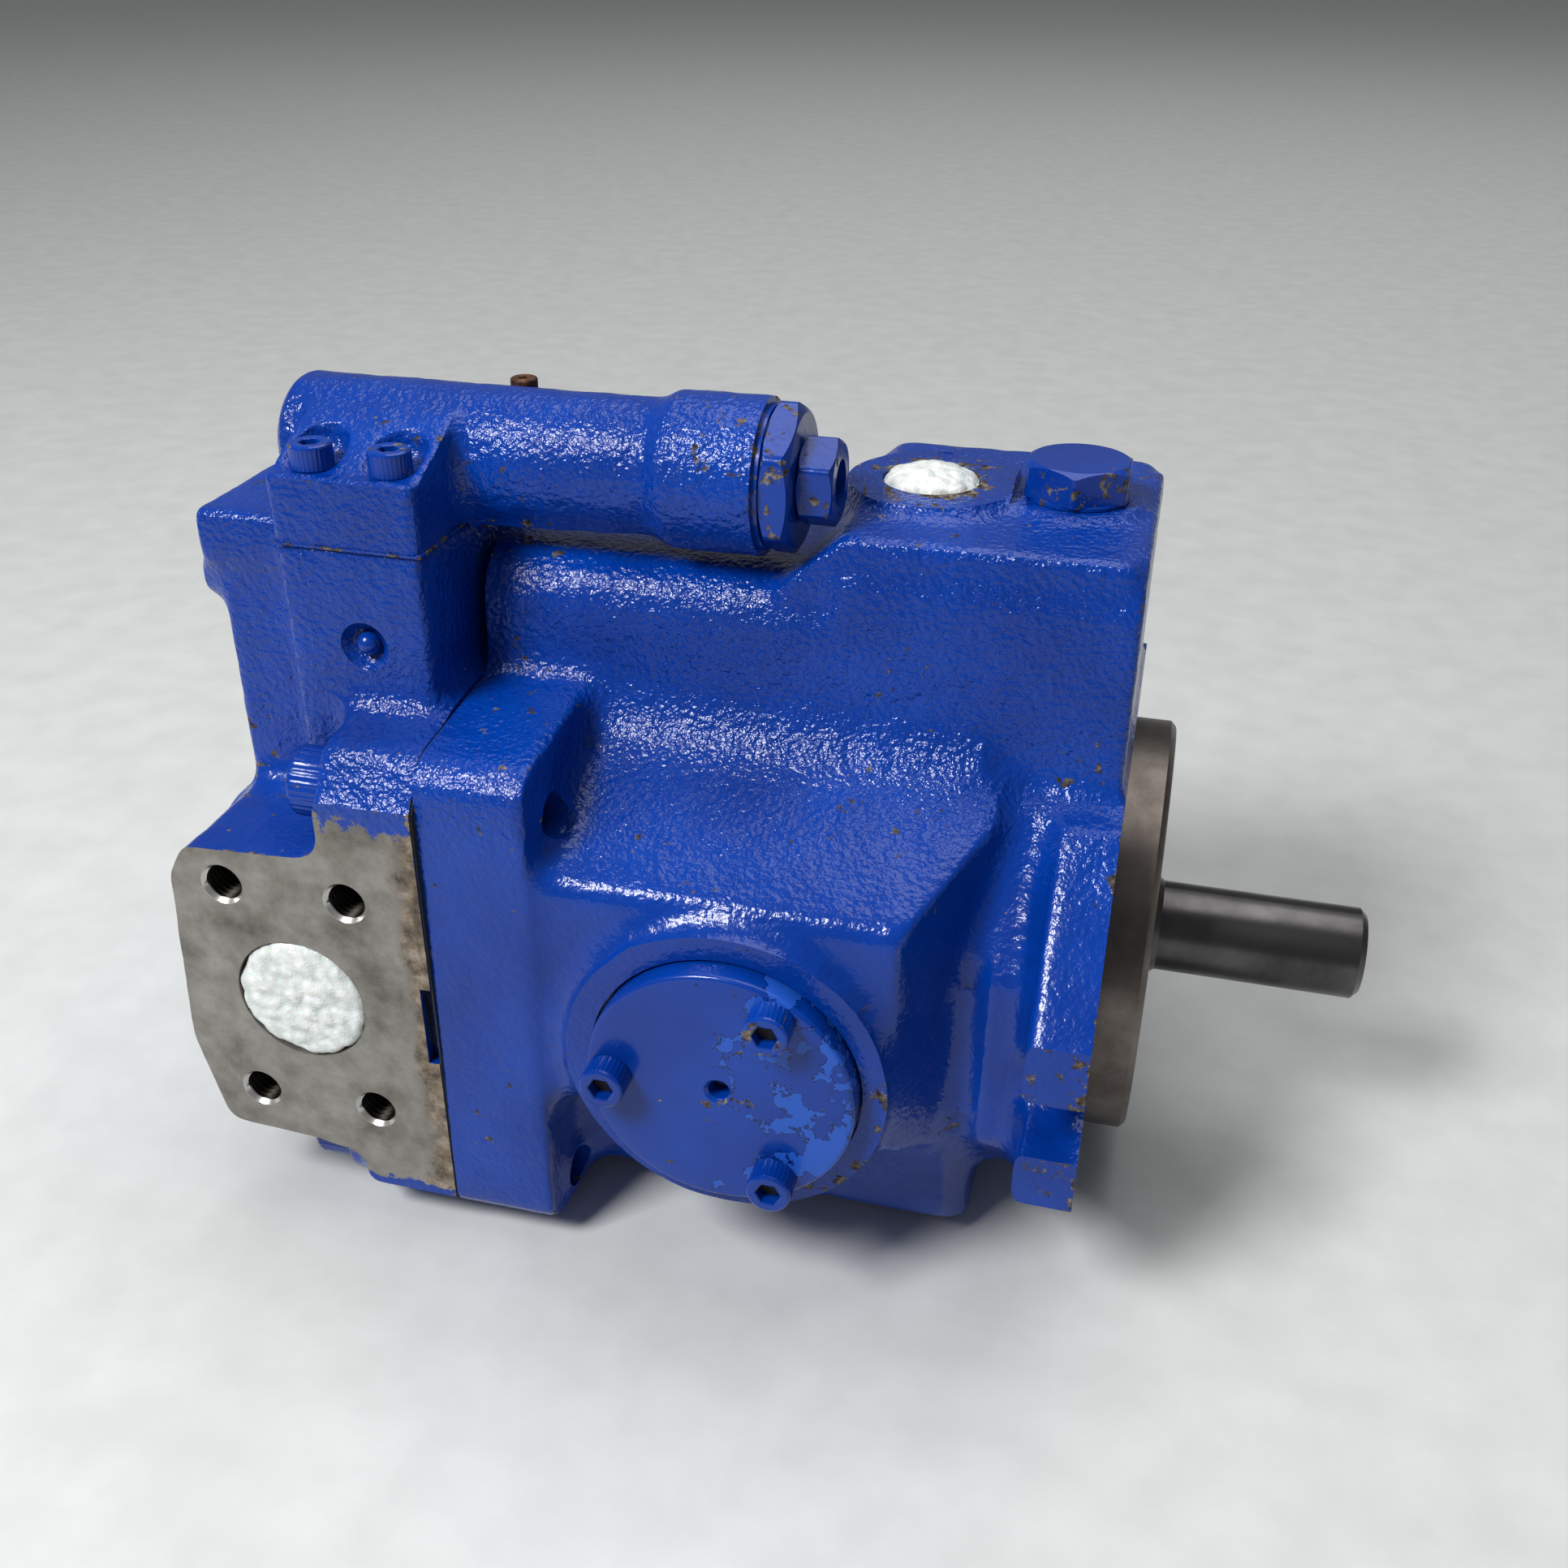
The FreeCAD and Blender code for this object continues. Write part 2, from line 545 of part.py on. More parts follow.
def yoke():
    """The tilting yoke: wear-plate disc, two cheeks with pintles, and the control arm."""
    x = YOKE_X
    pieces = [rod("x", x + SHOE_FACE + 2.1, x + 18, 44)]
    cheek = prism("y", [(x - 15, -15), (x + 18, -15), (x + 18, 15), (x - 15, 15)], -57.5, -47, 9)
    pieces += on_both_sides(cheek)
    pieces += on_both_sides(rod("y", -76, -50, PINTLE_R, x, 0))
    pieces += on_both_sides(box(x + 9, x + 18, -50, -38, -15, 15))
    pieces.append(box(x + ARM_LEFT, x + ARM_RIGHT, -8, 8, 47, 80))
    pieces.append(box(x + 9, x + 18, -8, 8, 30, ARM_ROOT_Z))
    pieces.append(box(x + ARM_LEFT, x + 18, -8, 8, 47, ARM_ROOT_Z))
    body = fused(pieces).cut(rod("x", x, x + 20, 21))
    return tilted(body)


def wear_plate():
    start = YOKE_X + SHOE_FACE
    return tilted(tube("x", start, start + 2.1, 43, 22))


def trunnion_bearing_rings():
    return Part.makeCompound(on_both_sides(tube("y", -77, -60, TRUNNION_BORE_R, 15.7, YOKE_X, 0)))


def trunnion_bearing_rollers():
    roller = rod("y", -75, -62, 1.2, YOKE_X, 14.35)
    rollers = around(roller, 18, V(YOKE_X, 0, 0), V(0, 1, 0))
    return Part.makeCompound(rollers + [mirrored(r) for r in rollers])


def trunnion_cover(side):
    """The round cover over a pintle, with a spigot, three screw holes and a jacking thread."""
    face = COVER_FACE_Y
    disc = rod("y", -face, -BODY_FRONT_Y, COVER_R, YOKE_X, 0)
    disc = disc.makeChamfer(0.8, [e for e in disc.Edges if abs(e.BoundBox.YMin + face) < 0.01
                                  and e.BoundBox.YLength < 0.01])
    cover = disc.fuse(rod("y", -BODY_FRONT_Y, -77.2, TRUNNION_BORE_R - 0.05, YOKE_X, 0))
    cuts = [rod("y", -face - 1, -face + 5, 2.5, YOKE_X, 0)]
    for angle in COVER_SCREW_ANGLES:
        x, z = cover_screw_place(angle)
        cuts.append(rod("y", -face - 1, -77, 3.3, x, z))
    cover = cover.cut(cuts)
    return cover if side < 0 else mirrored(cover)


def trunnion_cover_screws():
    screws = []
    for side in (-1, 1):
        for angle in COVER_SCREW_ANGLES:
            x, z = cover_screw_place(angle)
            seat = V(x, side * COVER_FACE_Y, z)
            screws.append(cap_screw(seat, V(0, side, 0), 3.0, 22, 5.0, 6, 5))
    return Part.makeCompound(screws)


# --- control piston and bias spring ------------------------------------------------------------

def nose_centre(face, sign, lean):
    """Where a round nose of the control piston's kind sits against the leaning arm, along X."""
    a = math.radians(lean)
    reach = face + sign * (CONTROL_NOSE_R + NOSE_GAP)
    return YOKE_X + (reach - CONTROL_Z * math.sin(a)) / math.cos(a)


def control_piston():
    """The piston that pushes the yoke's arm towards zero stroke, with a round nose."""
    centre = nose_centre(ARM_LEFT, -1, YOKE_TILT)
    nose = Part.makeSphere(CONTROL_NOSE_R, V(centre, 0, CONTROL_Z))
    stem = rod("x", centre - 20, centre, 6.0, 0, CONTROL_Z)
    head = rod("x", centre - 68, centre - 18, CONTROL_R, 0, CONTROL_Z)
    return fused([nose, stem, head]).cut(rod("x", centre - 69, centre - 30, 6, 0, CONTROL_Z))


def bias_spring_guide():
    """The spring cup that follows the arm on its other side."""
    centre = nose_centre(ARM_RIGHT, 1, YOKE_TILT)
    nose = Part.makeSphere(CONTROL_NOSE_R, V(centre, 0, CONTROL_Z))
    flange = rod("x", centre + 1, centre + 5, 13, 0, CONTROL_Z)
    pin = rod("x", centre + 4, centre + 14, 6, 0, CONTROL_Z)
    return fused([nose, flange, pin])


def coil(start, end, coil_r, wire_r, turns, y, z):
    """A round-wire helical spring lying along X."""
    pitch = (end - start - 2 * wire_r) / turns
    helix = Part.makeHelix(pitch, end - start - 2 * wire_r, coil_r)
    section = Part.Wire(Part.makeCircle(wire_r, V(coil_r, 0, 0), V(0, 1, 0)))
    spring = Part.Wire(helix).makePipeShell([section], True, True)
    spring.Placement = FreeCAD.Placement(V(start + wire_r, y, z), FreeCAD.Rotation(V(0, 0, 1), V(1, 0, 0)))
    return spring


def bias_spring():
    start = nose_centre(ARM_RIGHT, 1, YOKE_TILT) + 5.3
    return coil(start, -30.4, 9.5, 1.4, 7, 0, CONTROL_Z)


# --- compensator valve -------------------------------------------------------------------------

VALVE_SCREWS = [(-174, -53), (-156, -53), (-174, -9), (-156, -9)]
VALVE_SHOULDER = [(-57, 112), (-55, 119), (-37, 127.2), (-16, 127.2), (-3.5, 120.5), (-3.5, 112)]
CONTROL_PASSAGE_X = -171.0
ORIFICE_X = -140.0
ORIFICE_Y = VALVE_Y + 8


def valve_body():
    """The cast valve: a foot with scooped screw seats, a long barrel along X and a larger collar."""
    foot = prism("z", VALVE_FOOT, VALVE_SEAT_Z, VALVE_FOOT_TOP_Z, 2)
    barrel = turned([(VALVE_REAR_X, 12), (VALVE_REAR_X + 2.5, VALVE_R), (VALVE_COLLAR_X + 2, VALVE_R)],
                    VALVE_Y, VALVE_Z)
    collar = turned([(VALVE_COLLAR_X, VALVE_R), (VALVE_COLLAR_X + 4, VALVE_COLLAR_R),
                     (VALVE_FRONT_X, VALVE_COLLAR_R)], VALVE_Y, VALVE_Z)
    shoulder = prism("x", VALVE_SHOULDER, VALVE_FOOT[0][0], VALVE_FOOT[1][0], 2.5)
    body = fused([foot, barrel, collar, shoulder])
    cuts = [rod("x", -176, -112, SPOOL_R + 0.05, VALVE_Y, VALVE_Z)]
    cuts.append(rod("x", -117, VALVE_FRONT_X + 1, 10.0, VALVE_Y, VALVE_Z))
    cuts.append(rod("z", 100, VALVE_Z, 2.0, CONTROL_PASSAGE_X, VALVE_Y))
    cuts.append(box(-182.6, -147.4, -60.6, -2.4, 95, VALVE_SEAT_Z))
    for x, y in VALVE_SCREWS:
        cuts.append(rod("z", 100, 130, 2.6, x, y))
        inward = 4 if y < VALVE_Y else -4
        cuts.append(rod("z", VALVE_FOOT_TOP_Z, 140, 6.2, x, y))
        cuts.append(rod("z", VALVE_FOOT_TOP_Z, 140, 6.2, x, y + inward))
    cuts.append(rod("z", 122, 140, 3.1, ORIFICE_X, ORIFICE_Y))
    return body.cut(cuts).removeSplitter()


def valve_screws():
    seats = [V(x, y, VALVE_FOOT_TOP_Z) for x, y in VALVE_SCREWS]
    return Part.makeCompound([cap_screw(s, V(0, 0, 1), 2.5, 28, 4.6, 5.5, 4) for s in seats])


def valve_spool():
    """The control spool with two lands and a spring-end flange."""
    profile = [(-172, SPOOL_R - 0.3), (-171.7, SPOOL_R), (-160, SPOOL_R), (-160, 2.6), (-150, 2.6)]
    profile += [(-150, SPOOL_R), (-138, SPOOL_R), (-138, 2.6), (-130, 2.6), (-130, SPOOL_R)]
    profile += [(-115, SPOOL_R), (-115, 7.5), (-113, 7.5), (-113, 3.5), (-110, 3.5)]
    return turned(profile, VALVE_Y, VALVE_Z)


def valve_spring():
    return coil(-112.9, -97.1, 6.2, 1.1, 4.5, VALVE_Y, VALVE_Z)


def valve_spring_seat():
    profile = [(-101, 4.4), (-97, 4.4), (-97, 9.6), (-93, 9.6), (-93, 5), (-91, 5)]
    return turned(profile, VALVE_Y, VALVE_Z)


def valve_cap():
    """The hexagonal cap screwed into the collar, drilled for the adjusting screw."""
    hexed = hexagon("x", VALVE_FRONT_X, -74.5, 29, VALVE_Y, VALVE_Z)
    rounded = turned([(VALVE_FRONT_X, 16.9), (-77, 16.9), (-74.5, 14.2)], VALVE_Y, VALVE_Z)
    neck = rod("x", -89, VALVE_FRONT_X, 9.9, VALVE_Y, VALVE_Z)
    return hexed.common(rounded).fuse(neck).cut(rod("x", -98, -70, 5.05, VALVE_Y, VALVE_Z))


def adjusting_screw():
    """The set screw with a hexagon socket that loads the spring seat."""
    screw = rod("x", -91, -68.5, 5.0, VALVE_Y, VALVE_Z)
    return screw.cut(hexagon("x", -74, -68, 5, VALVE_Y, VALVE_Z))


def lock_nut():
    nut = hexagon("x", -74.3, -66.5, 17, VALVE_Y, VALVE_Z)
    ends = turned([(-74.3, 8.7), (-73.4, 9.9), (-67.5, 9.9), (-66.5, 8.7)], VALVE_Y, VALVE_Z)
    return nut.common(ends).cut(rod("x", -78, -60, 5.05, VALVE_Y, VALVE_Z))


def orifice_plug():
    plug = rod("z", 122, 130.5, 3.0, ORIFICE_X, ORIFICE_Y)
    return plug.cut(hexagon("z", 128.5, 131, 2.5, ORIFICE_X, ORIFICE_Y))


# --- plugs and foam ------------------------------------------------------------------------------

def hex_plug():
    """The hexagon-head plug in the smaller top boss."""
    head = hexagon("z", PLUG_BOSS_Z + 1, PLUG_BOSS_Z + 8.5, 22, PLUG_X, 0)
    head = head.common(Part.makeCone(16.2, 10.6, 8.5, V(PLUG_X, 0, PLUG_BOSS_Z)))
    collar = rod("z", PLUG_BOSS_Z, PLUG_BOSS_Z + 1.1, 11.6, PLUG_X, 0)
    stem = rod("z", PLUG_BOSS_Z - 14, PLUG_BOSS_Z + 0.5, 8.15, PLUG_X, 0)
    return fused([head, collar, stem])


def suction_foam():
    return rod("y", -PORT_FACE_Y - 1.5, -60, SUCTION_R - 0.02, PORT_X, 0)


def drain_foam():
    cork = rod("z", BOSS_TOP_Z - 18, BOSS_TOP_Z + 3.5, DRAIN_R - 0.02, DRAIN_X, 0)
    return cork


def write_nodes():
    os.makedirs("parts", exist_ok=True)
    outer, inner, balls = ball_bearing()
    nodes = {
        "housing": housing(),
        "port_block": port_block(),
        "joint_gasket": joint_gasket(),
        "passage_ball": passage_ball(),
        "housing_bolts": housing_bolts(),
        "drive_shaft": drive_shaft(),
        "front_bearing_outer_ring": outer,
        "front_bearing_inner_ring": inner,
        "front_bearing_balls": balls,
        "bearing_retaining_ring": retaining_ring(-14.4),
        "seal_carrier": seal_carrier(),
        "carrier_retaining_ring": retaining_ring(4.3),
        "shaft_seal": shaft_seal(),
        "rear_needle_bearing": rear_needle_bearing(),
        "cylinder_barrel": cylinder_barrel(),
        "retainer_ball": retainer_ball(),
        "retainer_plate": retainer_plate(),
        "valve_plate": valve_plate(),
        "valve_plate_pin": valve_plate_pin(),
        "yoke": yoke(),
        "wear_plate": wear_plate(),
        "trunnion_bearing_rings": trunnion_bearing_rings(),
        "trunnion_bearing_rollers": trunnion_bearing_rollers(),
        "trunnion_cover_front": trunnion_cover(-1),
        "trunnion_cover_back": trunnion_cover(1),
        "trunnion_cover_screws": trunnion_cover_screws(),
        "control_piston": control_piston(),
        "bias_spring_guide": bias_spring_guide(),
        "bias_spring": bias_spring(),
        "valve_body": valve_body(),
        "valve_screws": valve_screws(),
        "valve_spool": valve_spool(),
        "valve_spring": valve_spring(),
        "valve_spring_seat": valve_spring_seat(),
        "valve_cap": valve_cap(),
        "adjusting_screw": adjusting_screw(),
        "lock_nut": lock_nut(),
        "orifice_plug": orifice_plug(),
        "hex_plug": hex_plug(),
        "suction_foam": suction_foam(),
        "drain_foam": drain_foam(),
    }
    for number in range(PISTON_COUNT):
        nodes[f"piston_{number + 1}"] = piston(number)
        nodes[f"shoe_{number + 1}"] = shoe(number)
    for name, shape in nodes.items():
        shape.exportStep(f"parts/{name}.step")
        state = "" if shape.isValid() else " NOT VALID"
        print(f"{name}: {len(shape.Solids)} solids, {shape.Volume / 1000:.2f} cm3{state}")


write_nodes()
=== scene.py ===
import json
import math

import bmesh
import bpy
import numpy as np
from mathutils import Matrix, Vector


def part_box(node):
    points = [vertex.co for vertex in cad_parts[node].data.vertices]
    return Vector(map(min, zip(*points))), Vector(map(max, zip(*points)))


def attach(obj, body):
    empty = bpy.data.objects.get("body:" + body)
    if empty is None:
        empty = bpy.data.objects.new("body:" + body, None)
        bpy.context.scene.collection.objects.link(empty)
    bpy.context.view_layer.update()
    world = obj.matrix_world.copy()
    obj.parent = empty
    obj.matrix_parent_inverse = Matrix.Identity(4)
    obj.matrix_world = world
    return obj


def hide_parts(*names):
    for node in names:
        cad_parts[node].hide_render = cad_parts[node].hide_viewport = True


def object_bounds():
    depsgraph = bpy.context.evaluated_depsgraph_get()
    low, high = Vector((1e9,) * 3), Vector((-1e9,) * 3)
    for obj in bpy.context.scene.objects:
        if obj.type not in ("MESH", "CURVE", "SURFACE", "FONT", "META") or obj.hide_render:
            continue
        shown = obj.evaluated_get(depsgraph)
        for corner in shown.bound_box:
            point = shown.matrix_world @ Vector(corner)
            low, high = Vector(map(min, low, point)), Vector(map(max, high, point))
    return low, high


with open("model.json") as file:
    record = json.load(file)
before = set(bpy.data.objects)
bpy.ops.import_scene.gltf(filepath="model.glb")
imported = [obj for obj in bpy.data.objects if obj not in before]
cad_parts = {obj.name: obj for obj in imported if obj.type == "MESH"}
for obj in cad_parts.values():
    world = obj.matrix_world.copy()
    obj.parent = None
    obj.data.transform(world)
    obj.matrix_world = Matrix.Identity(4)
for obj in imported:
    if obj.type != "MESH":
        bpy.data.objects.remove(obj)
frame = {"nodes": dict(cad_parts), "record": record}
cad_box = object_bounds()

MM = 0.001
X, Y, Z = (1, 0, 0), (0, 1, 0), (0, 0, 1)

# --- Camera, floor and light -----------------------------------------------------------------
# The pump lies on a pale bench. The main lamp stands high in front and to the left, a large soft
# one hangs high above, and the room fills the rest: pale to look at, dimmer as a light.

CAMERA_PLACE = Vector((0.6, -338.0, 222.4)) * MM
CAMERA_HEADING = math.radians(-14.207)
CAMERA_DOWN = math.radians(29.397)
CAMERA_ROLL = math.radians(0.473)


def camera_turn(heading, down, roll):
    """Right, up and backward axes: heading turns from +Y, down tips the view, roll turns about it."""
    ahead = Vector((math.sin(heading) * math.cos(down), math.cos(heading) * math.cos(down), -math.sin(down)))
    level = Vector((math.cos(heading), -math.sin(heading), 0))
    above = level.cross(ahead)
    right = level * math.cos(roll) + above * math.sin(roll)
    up = above * math.cos(roll) - level * math.sin(roll)
    return Matrix((right, up, -ahead)).transposed()


lens = bpy.data.cameras.new("bench_camera")
lens.sensor_width = 36.0
lens.lens = 36.06
lens.clip_start = 0.01
camera = bpy.data.objects.new("bench_camera", lens)
camera_axes = camera_turn(CAMERA_HEADING, CAMERA_DOWN, CAMERA_ROLL)
camera.matrix_world = Matrix.Translation(CAMERA_PLACE) @ camera_axes.to_4x4()
bpy.context.scene.collection.objects.link(camera)
bpy.context.scene.camera = camera


def linear(code):
    """An sRGB hex colour as linear RGBA: the low end is divided by 12.92, the rest is a 2.4 power."""
    value = np.array([int(code[i:i + 2], 16) for i in (1, 3, 5)]) / 255.0
    line = np.where(value <= 0.04045, value / 12.92, ((value + 0.055) / 1.055) ** 2.4)
    return (*line.tolist(), 1.0)


def add(tree, kind, settings=(), **inputs):
    """One node in a tree: its own settings, then inputs by name (underscores for spaces), each a
    constant or another node's output."""
    node = tree.nodes.new("ShaderNode" + kind)
    for key, value in dict(settings).items():
        setattr(node, key, value)
    for key, value in inputs.items():
        place = int(key[1:]) if key[0] == "_" else key.replace("_", " ")
        socket = node.inputs[place]
        if isinstance(value, bpy.types.NodeSocket):
            tree.links.new(value, socket)
        else:
            socket.default_value = value
    return node


def empty_material(name):
    made = bpy.data.materials.new(name)
    made.use_nodes = True
    made.node_tree.nodes.clear()
    return made, made.node_tree


def ramp(tree, fac, stops):
    """A colour ramp through (position, hex colour or grey level) stops."""
    node = add(tree, "ValToRGB", Fac=fac)
    band = node.color_ramp
    while len(band.elements) < len(stops):
        band.elements.new(0.5)
    for element, (position, colour) in zip(band.elements, stops):
        element.position = position
        element.color = linear(colour) if isinstance(colour, str) else (colour, colour, colour, 1.0)
    return node.outputs["Color"]


FLOOR_Z = cad_box[0][2] - 0.2 * MM
FLOOR_HALF = 9
floor_corners = [(x * FLOOR_HALF, y * FLOOR_HALF, FLOOR_Z) for x, y in ((-1, -1), (1, -1), (1, 1), (-1, 1))]
floor_mesh = bpy.data.meshes.new("bench")
floor_mesh.from_pydata(floor_corners, [], [(0, 1, 2, 3)])
bench = bpy.data.objects.new("bench", floor_mesh)
bpy.context.scene.collection.objects.link(bench)
bench_paper, tree = empty_material("pale_bench_paper")
where = add(tree, "TexCoord").outputs["Object"]
fibre = add(tree, "TexNoise", Vector=where, Scale=60.0, Detail=4.0).outputs["Fac"]
pale = ramp(tree, fibre, [(0.3, "#C6C8C6"), (0.7, "#CFD1CF")])
shader = add(tree, "BsdfPrincipled", Base_Color=pale, Roughness=0.5)
add(tree, "OutputMaterial", Surface=shader.outputs["BSDF"])
floor_mesh.materials.append(bench_paper)


def lamp(name, size, power, place, aim):
    """A square soft lamp at a place, turned to face its aim."""
    data = bpy.data.lights.new(name, "AREA")
    data.size = size
    data.energy = power
    lamp_object = bpy.data.objects.new(name, data)
    lamp_object.location = place
    lamp_object.rotation_euler = (Vector(aim) - Vector(place)).to_track_quat("-Z", "Y").to_euler()
    bpy.context.scene.collection.objects.link(lamp_object)


lamp("front_lamp", 0.36, 16.5, (-0.58, -0.72, 0.92), (-0.08, 0.0, 0.02))
lamp("high_lamp", 2.2, 44.0, (0.1, 1.0, 2.7), (0.0, 0.9, 0.0))
room = bpy.data.worlds.new("pale_room")
room.use_nodes = True
wall = room.node_tree.nodes["Background"]
wall.inputs["Color"].default_value = linear("#E6E9EC")
seen = add(room.node_tree, "LightPath").outputs["Is Camera Ray"]
strength = add(room.node_tree, "MapRange", Value=seen, To_Min=0.22, To_Max=0.72).outputs[0]
room.node_tree.links.new(strength, wall.inputs["Strength"])
bpy.context.scene.world = room
bpy.context.scene.view_settings.view_transform = "Standard"

# --- Housing -----------------------------------------------------------------------------------
# The main casting is grey iron poured in a sand mould, so its corners are soft and its skin is
# grainy. The joint face, bosses and bores are machined afterwards, and the whole pump is then
# sprayed with one thick coat of royal-blue machinery enamel that has chipped at its corners.

housing_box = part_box("housing")
cover_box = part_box("trunnion_cover_front")
drain_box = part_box("drain_foam")
plug_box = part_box("hex_plug")
pintle_x = (cover_box[0].x + cover_box[1].x) / 2
drain_x = (drain_box[0].x + drain_box[1].x) / 2
plug_x = (plug_box[0].x + plug_box[1].x) / 2
PILOT_R = 50.8 * MM
BEARING_BORE_R = 36.0 * MM
CHAMBER_R = 50.0 * MM
COVER_RECESS_R = 30.6 * MM
BOSS_FACE_Y = 84.0 * MM
DRAIN_BOSS_Z = 109.5 * MM
PLUG_BOSS_Z = 108.5 * MM
BOLT_PLACES = [(-69 * MM, 51 * MM), (69 * MM, 51 * MM), (-69 * MM, -49 * MM), (69 * MM, -49 * MM)]


def mesh_object(name, points, faces):
    """A mesh object from points and faces, its doubles merged and its faces turned outwards."""
    mesh = bpy.data.meshes.new(name)
    mesh.from_pydata(np.asarray(points).reshape(-1, 3).tolist(), [], faces)
    made = bmesh.new()
    made.from_mesh(mesh)
    bmesh.ops.remove_doubles(made, verts=made.verts, dist=1e-6)
    bmesh.ops.recalc_face_normals(made, faces=made.faces)
    made.to_mesh(mesh)
    made.free()
    thing = bpy.data.objects.new(name, mesh)
    bpy.context.scene.collection.objects.link(thing)
    return thing


def block(low, high):
    """The eight corners and six faces of a box from its lowest to its highest corner."""
    ends = np.array([low, high])
    corners = [(ends[i][0], ends[j][1], ends[k][2]) for i in (0, 1) for j in (0, 1) for k in (0, 1)]
    return corners, [(0, 1, 3, 2), (4, 6, 7, 5), (0, 4, 5, 1), (2, 3, 7, 6), (0, 2, 6, 4), (1, 5, 7, 3)]


def lathe(profile, direction, foot, columns=72):
    """A profile of (distance, radius) pairs turned about a line: each pair is a ring of points at
    foot + distance * direction + radius * (cos * side + sin * up). Returns points and quads."""
    profile = np.asarray(profile, dtype=float)
    plain = np.ones(columns)
    return rings(profile[:, 0][:, None] * plain, profile[:, 1][:, None] * plain, direction, foot)


def rings(along, radius, direction, foot):
    """Points and quads of a surface round a line, from its distance along and away at each ring
    (row) and each turn (column). A ring of zero radius is a pole."""
    rows, columns = radius.shape
    way = np.asarray(direction, dtype=float)
    side = np.roll(np.abs(way), 1)
    up = np.cross(way, side)
    turn = np.linspace(0, 2 * np.pi, columns, endpoint=False)
    points = np.asarray(foot) + along[..., None] * way
    points = points + radius[..., None] * (np.cos(turn)[:, None] * side + np.sin(turn)[:, None] * up)
    index = np.arange(rows * columns).reshape(rows, columns)
    near, far = index[:-1], index[1:]
    quads = np.stack([near, np.roll(near, -1, 1), np.roll(far, -1, 1), far], -1).reshape(-1, 4)
    return points.reshape(-1, 3), quads.tolist()


def rod(direction, foot, length, radius):
    """A plain closed bar from its foot, as points and faces."""
    return lathe([(0, 0), (0, radius), (length, radius), (length, 0)], direction, foot)


def joined(shapes):
    """Several point-and-face shapes as one."""
    points = []
    faces = []
    for shape_points, shape_faces in shapes:
        start = len(points)
        points += [tuple(p) for p in np.asarray(shape_points).reshape(-1, 3)]
        faces += [tuple(i + start for i in face) for face in shape_faces]
    return points, faces


def modifier(thing, kind, **settings):
    made = thing.modifiers.new(kind.lower(), kind)
    for key, value in settings.items():
        setattr(made, key, value)


def baked(thing, name):
    """The object's mesh with its modifiers applied, as a new object; the old one goes."""
    state = bpy.context.evaluated_depsgraph_get()
    mesh = bpy.data.meshes.new_from_object(thing.evaluated_get(state))
    result = bpy.data.objects.new(name, mesh)
    bpy.context.scene.collection.objects.link(result)
    bpy.data.objects.remove(thing)
    return result


STOCK = 3 * MM


def cast_and_machined(name, node, stock, plugs, cuts, grid, fillet, waves):
    """A casting: the CAD solid gets machining stock (points on each plane move out by it) and its
    holes are plugged. It is rebuilt on a fine grid, swollen and shrunk by the fillet radius so that
    inner corners fill, smoothed, and roughened by waves of clouds. Then each cut is taken out."""
    mesh = frame["nodes"][node].data
    count = len(mesh.vertices)
    points = np.empty(count * 3)
    mesh.vertices.foreach_get("co", points)
    points = points.reshape(-1, 3)
    faces = [tuple(face.vertices) for face in mesh.polygons]
    for axis, level, out in stock:
        points[np.abs(points[:, axis] - level) < 0.02 * MM, axis] += out * STOCK
    blank = mesh_object(name + "_blank", *joined([(points, faces)]))
    filled = mesh_object(name + "_plugs", *joined(plugs))
    bpy.ops.object.select_all(action="DESELECT")
    blank.select_set(True)
    filled.select_set(True)
    bpy.context.view_layer.objects.active = blank
    bpy.ops.object.join()
    modifier(blank, "REMESH", mode="VOXEL", voxel_size=grid)
    modifier(blank, "DISPLACE", strength=fillet, mid_level=0.0)
    modifier(blank, "REMESH", mode="VOXEL", voxel_size=grid)
    modifier(blank, "DISPLACE", strength=-fillet, mid_level=0.0)
    modifier(blank, "SMOOTH", factor=0.5, iterations=5)
    for size, height in waves:
        clouds = bpy.data.textures.new(f"{name}_{size}", "CLOUDS")
        clouds.noise_scale = size
        clouds.noise_depth = 1
        modifier(blank, "DISPLACE", texture=clouds, strength=height, mid_level=0.5)
    rough = baked(blank, name)
    tools = [mesh_object(f"{name}_tool_{n}", *cut) for n, cut in enumerate(cuts)]
    for tool in tools:
        modifier(rough, "BOOLEAN", operation="DIFFERENCE", solver="MANIFOLD", object=tool)
    made = baked(rough, name)
    for tool in tools:
        bpy.data.objects.remove(tool)
    made.data.shade_smooth()
    made.data.set_sharp_from_angle(angle=math.radians(38))
    return made


def half_space(axis, level, out):
    """A big block beyond a level along an axis, for facing a casting off flat."""
    low = np.array([-0.3, -0.3, -0.3])
    high = np.array([0.3, 0.3, 0.3])
    (low if out > 0 else high)[axis] = level
    return block(low, high)


def fillet_strip(corner, first, last, start, end):
    """A filler along X for a deep inner corner, as points and faces: its face is the curve
    (1 - t)^2 first + 2 t (1 - t) corner + t^2 last, in y and z, and its back lies in the metal."""
    t = np.linspace(0, 1, 9)[:, None]
    curve = (1 - t) ** 2 * np.array(first) + 2 * t * (1 - t) * np.array(corner) + t ** 2 * np.array(last)
    inside = np.array(corner) + 0.6 * (np.array(corner) - (np.array(first) + np.array(last)) / 2)
    outline = np.vstack([curve, inside]) * MM
    count = len(outline)
    points = [(x, y, z) for x in (start, end) for y, z in outline]
    sides = [(i, (i + 1) % count, count + (i + 1) % count, count + i) for i in range(count)]
    return points, sides + [tuple(range(count)), tuple(range(count, 2 * count))]


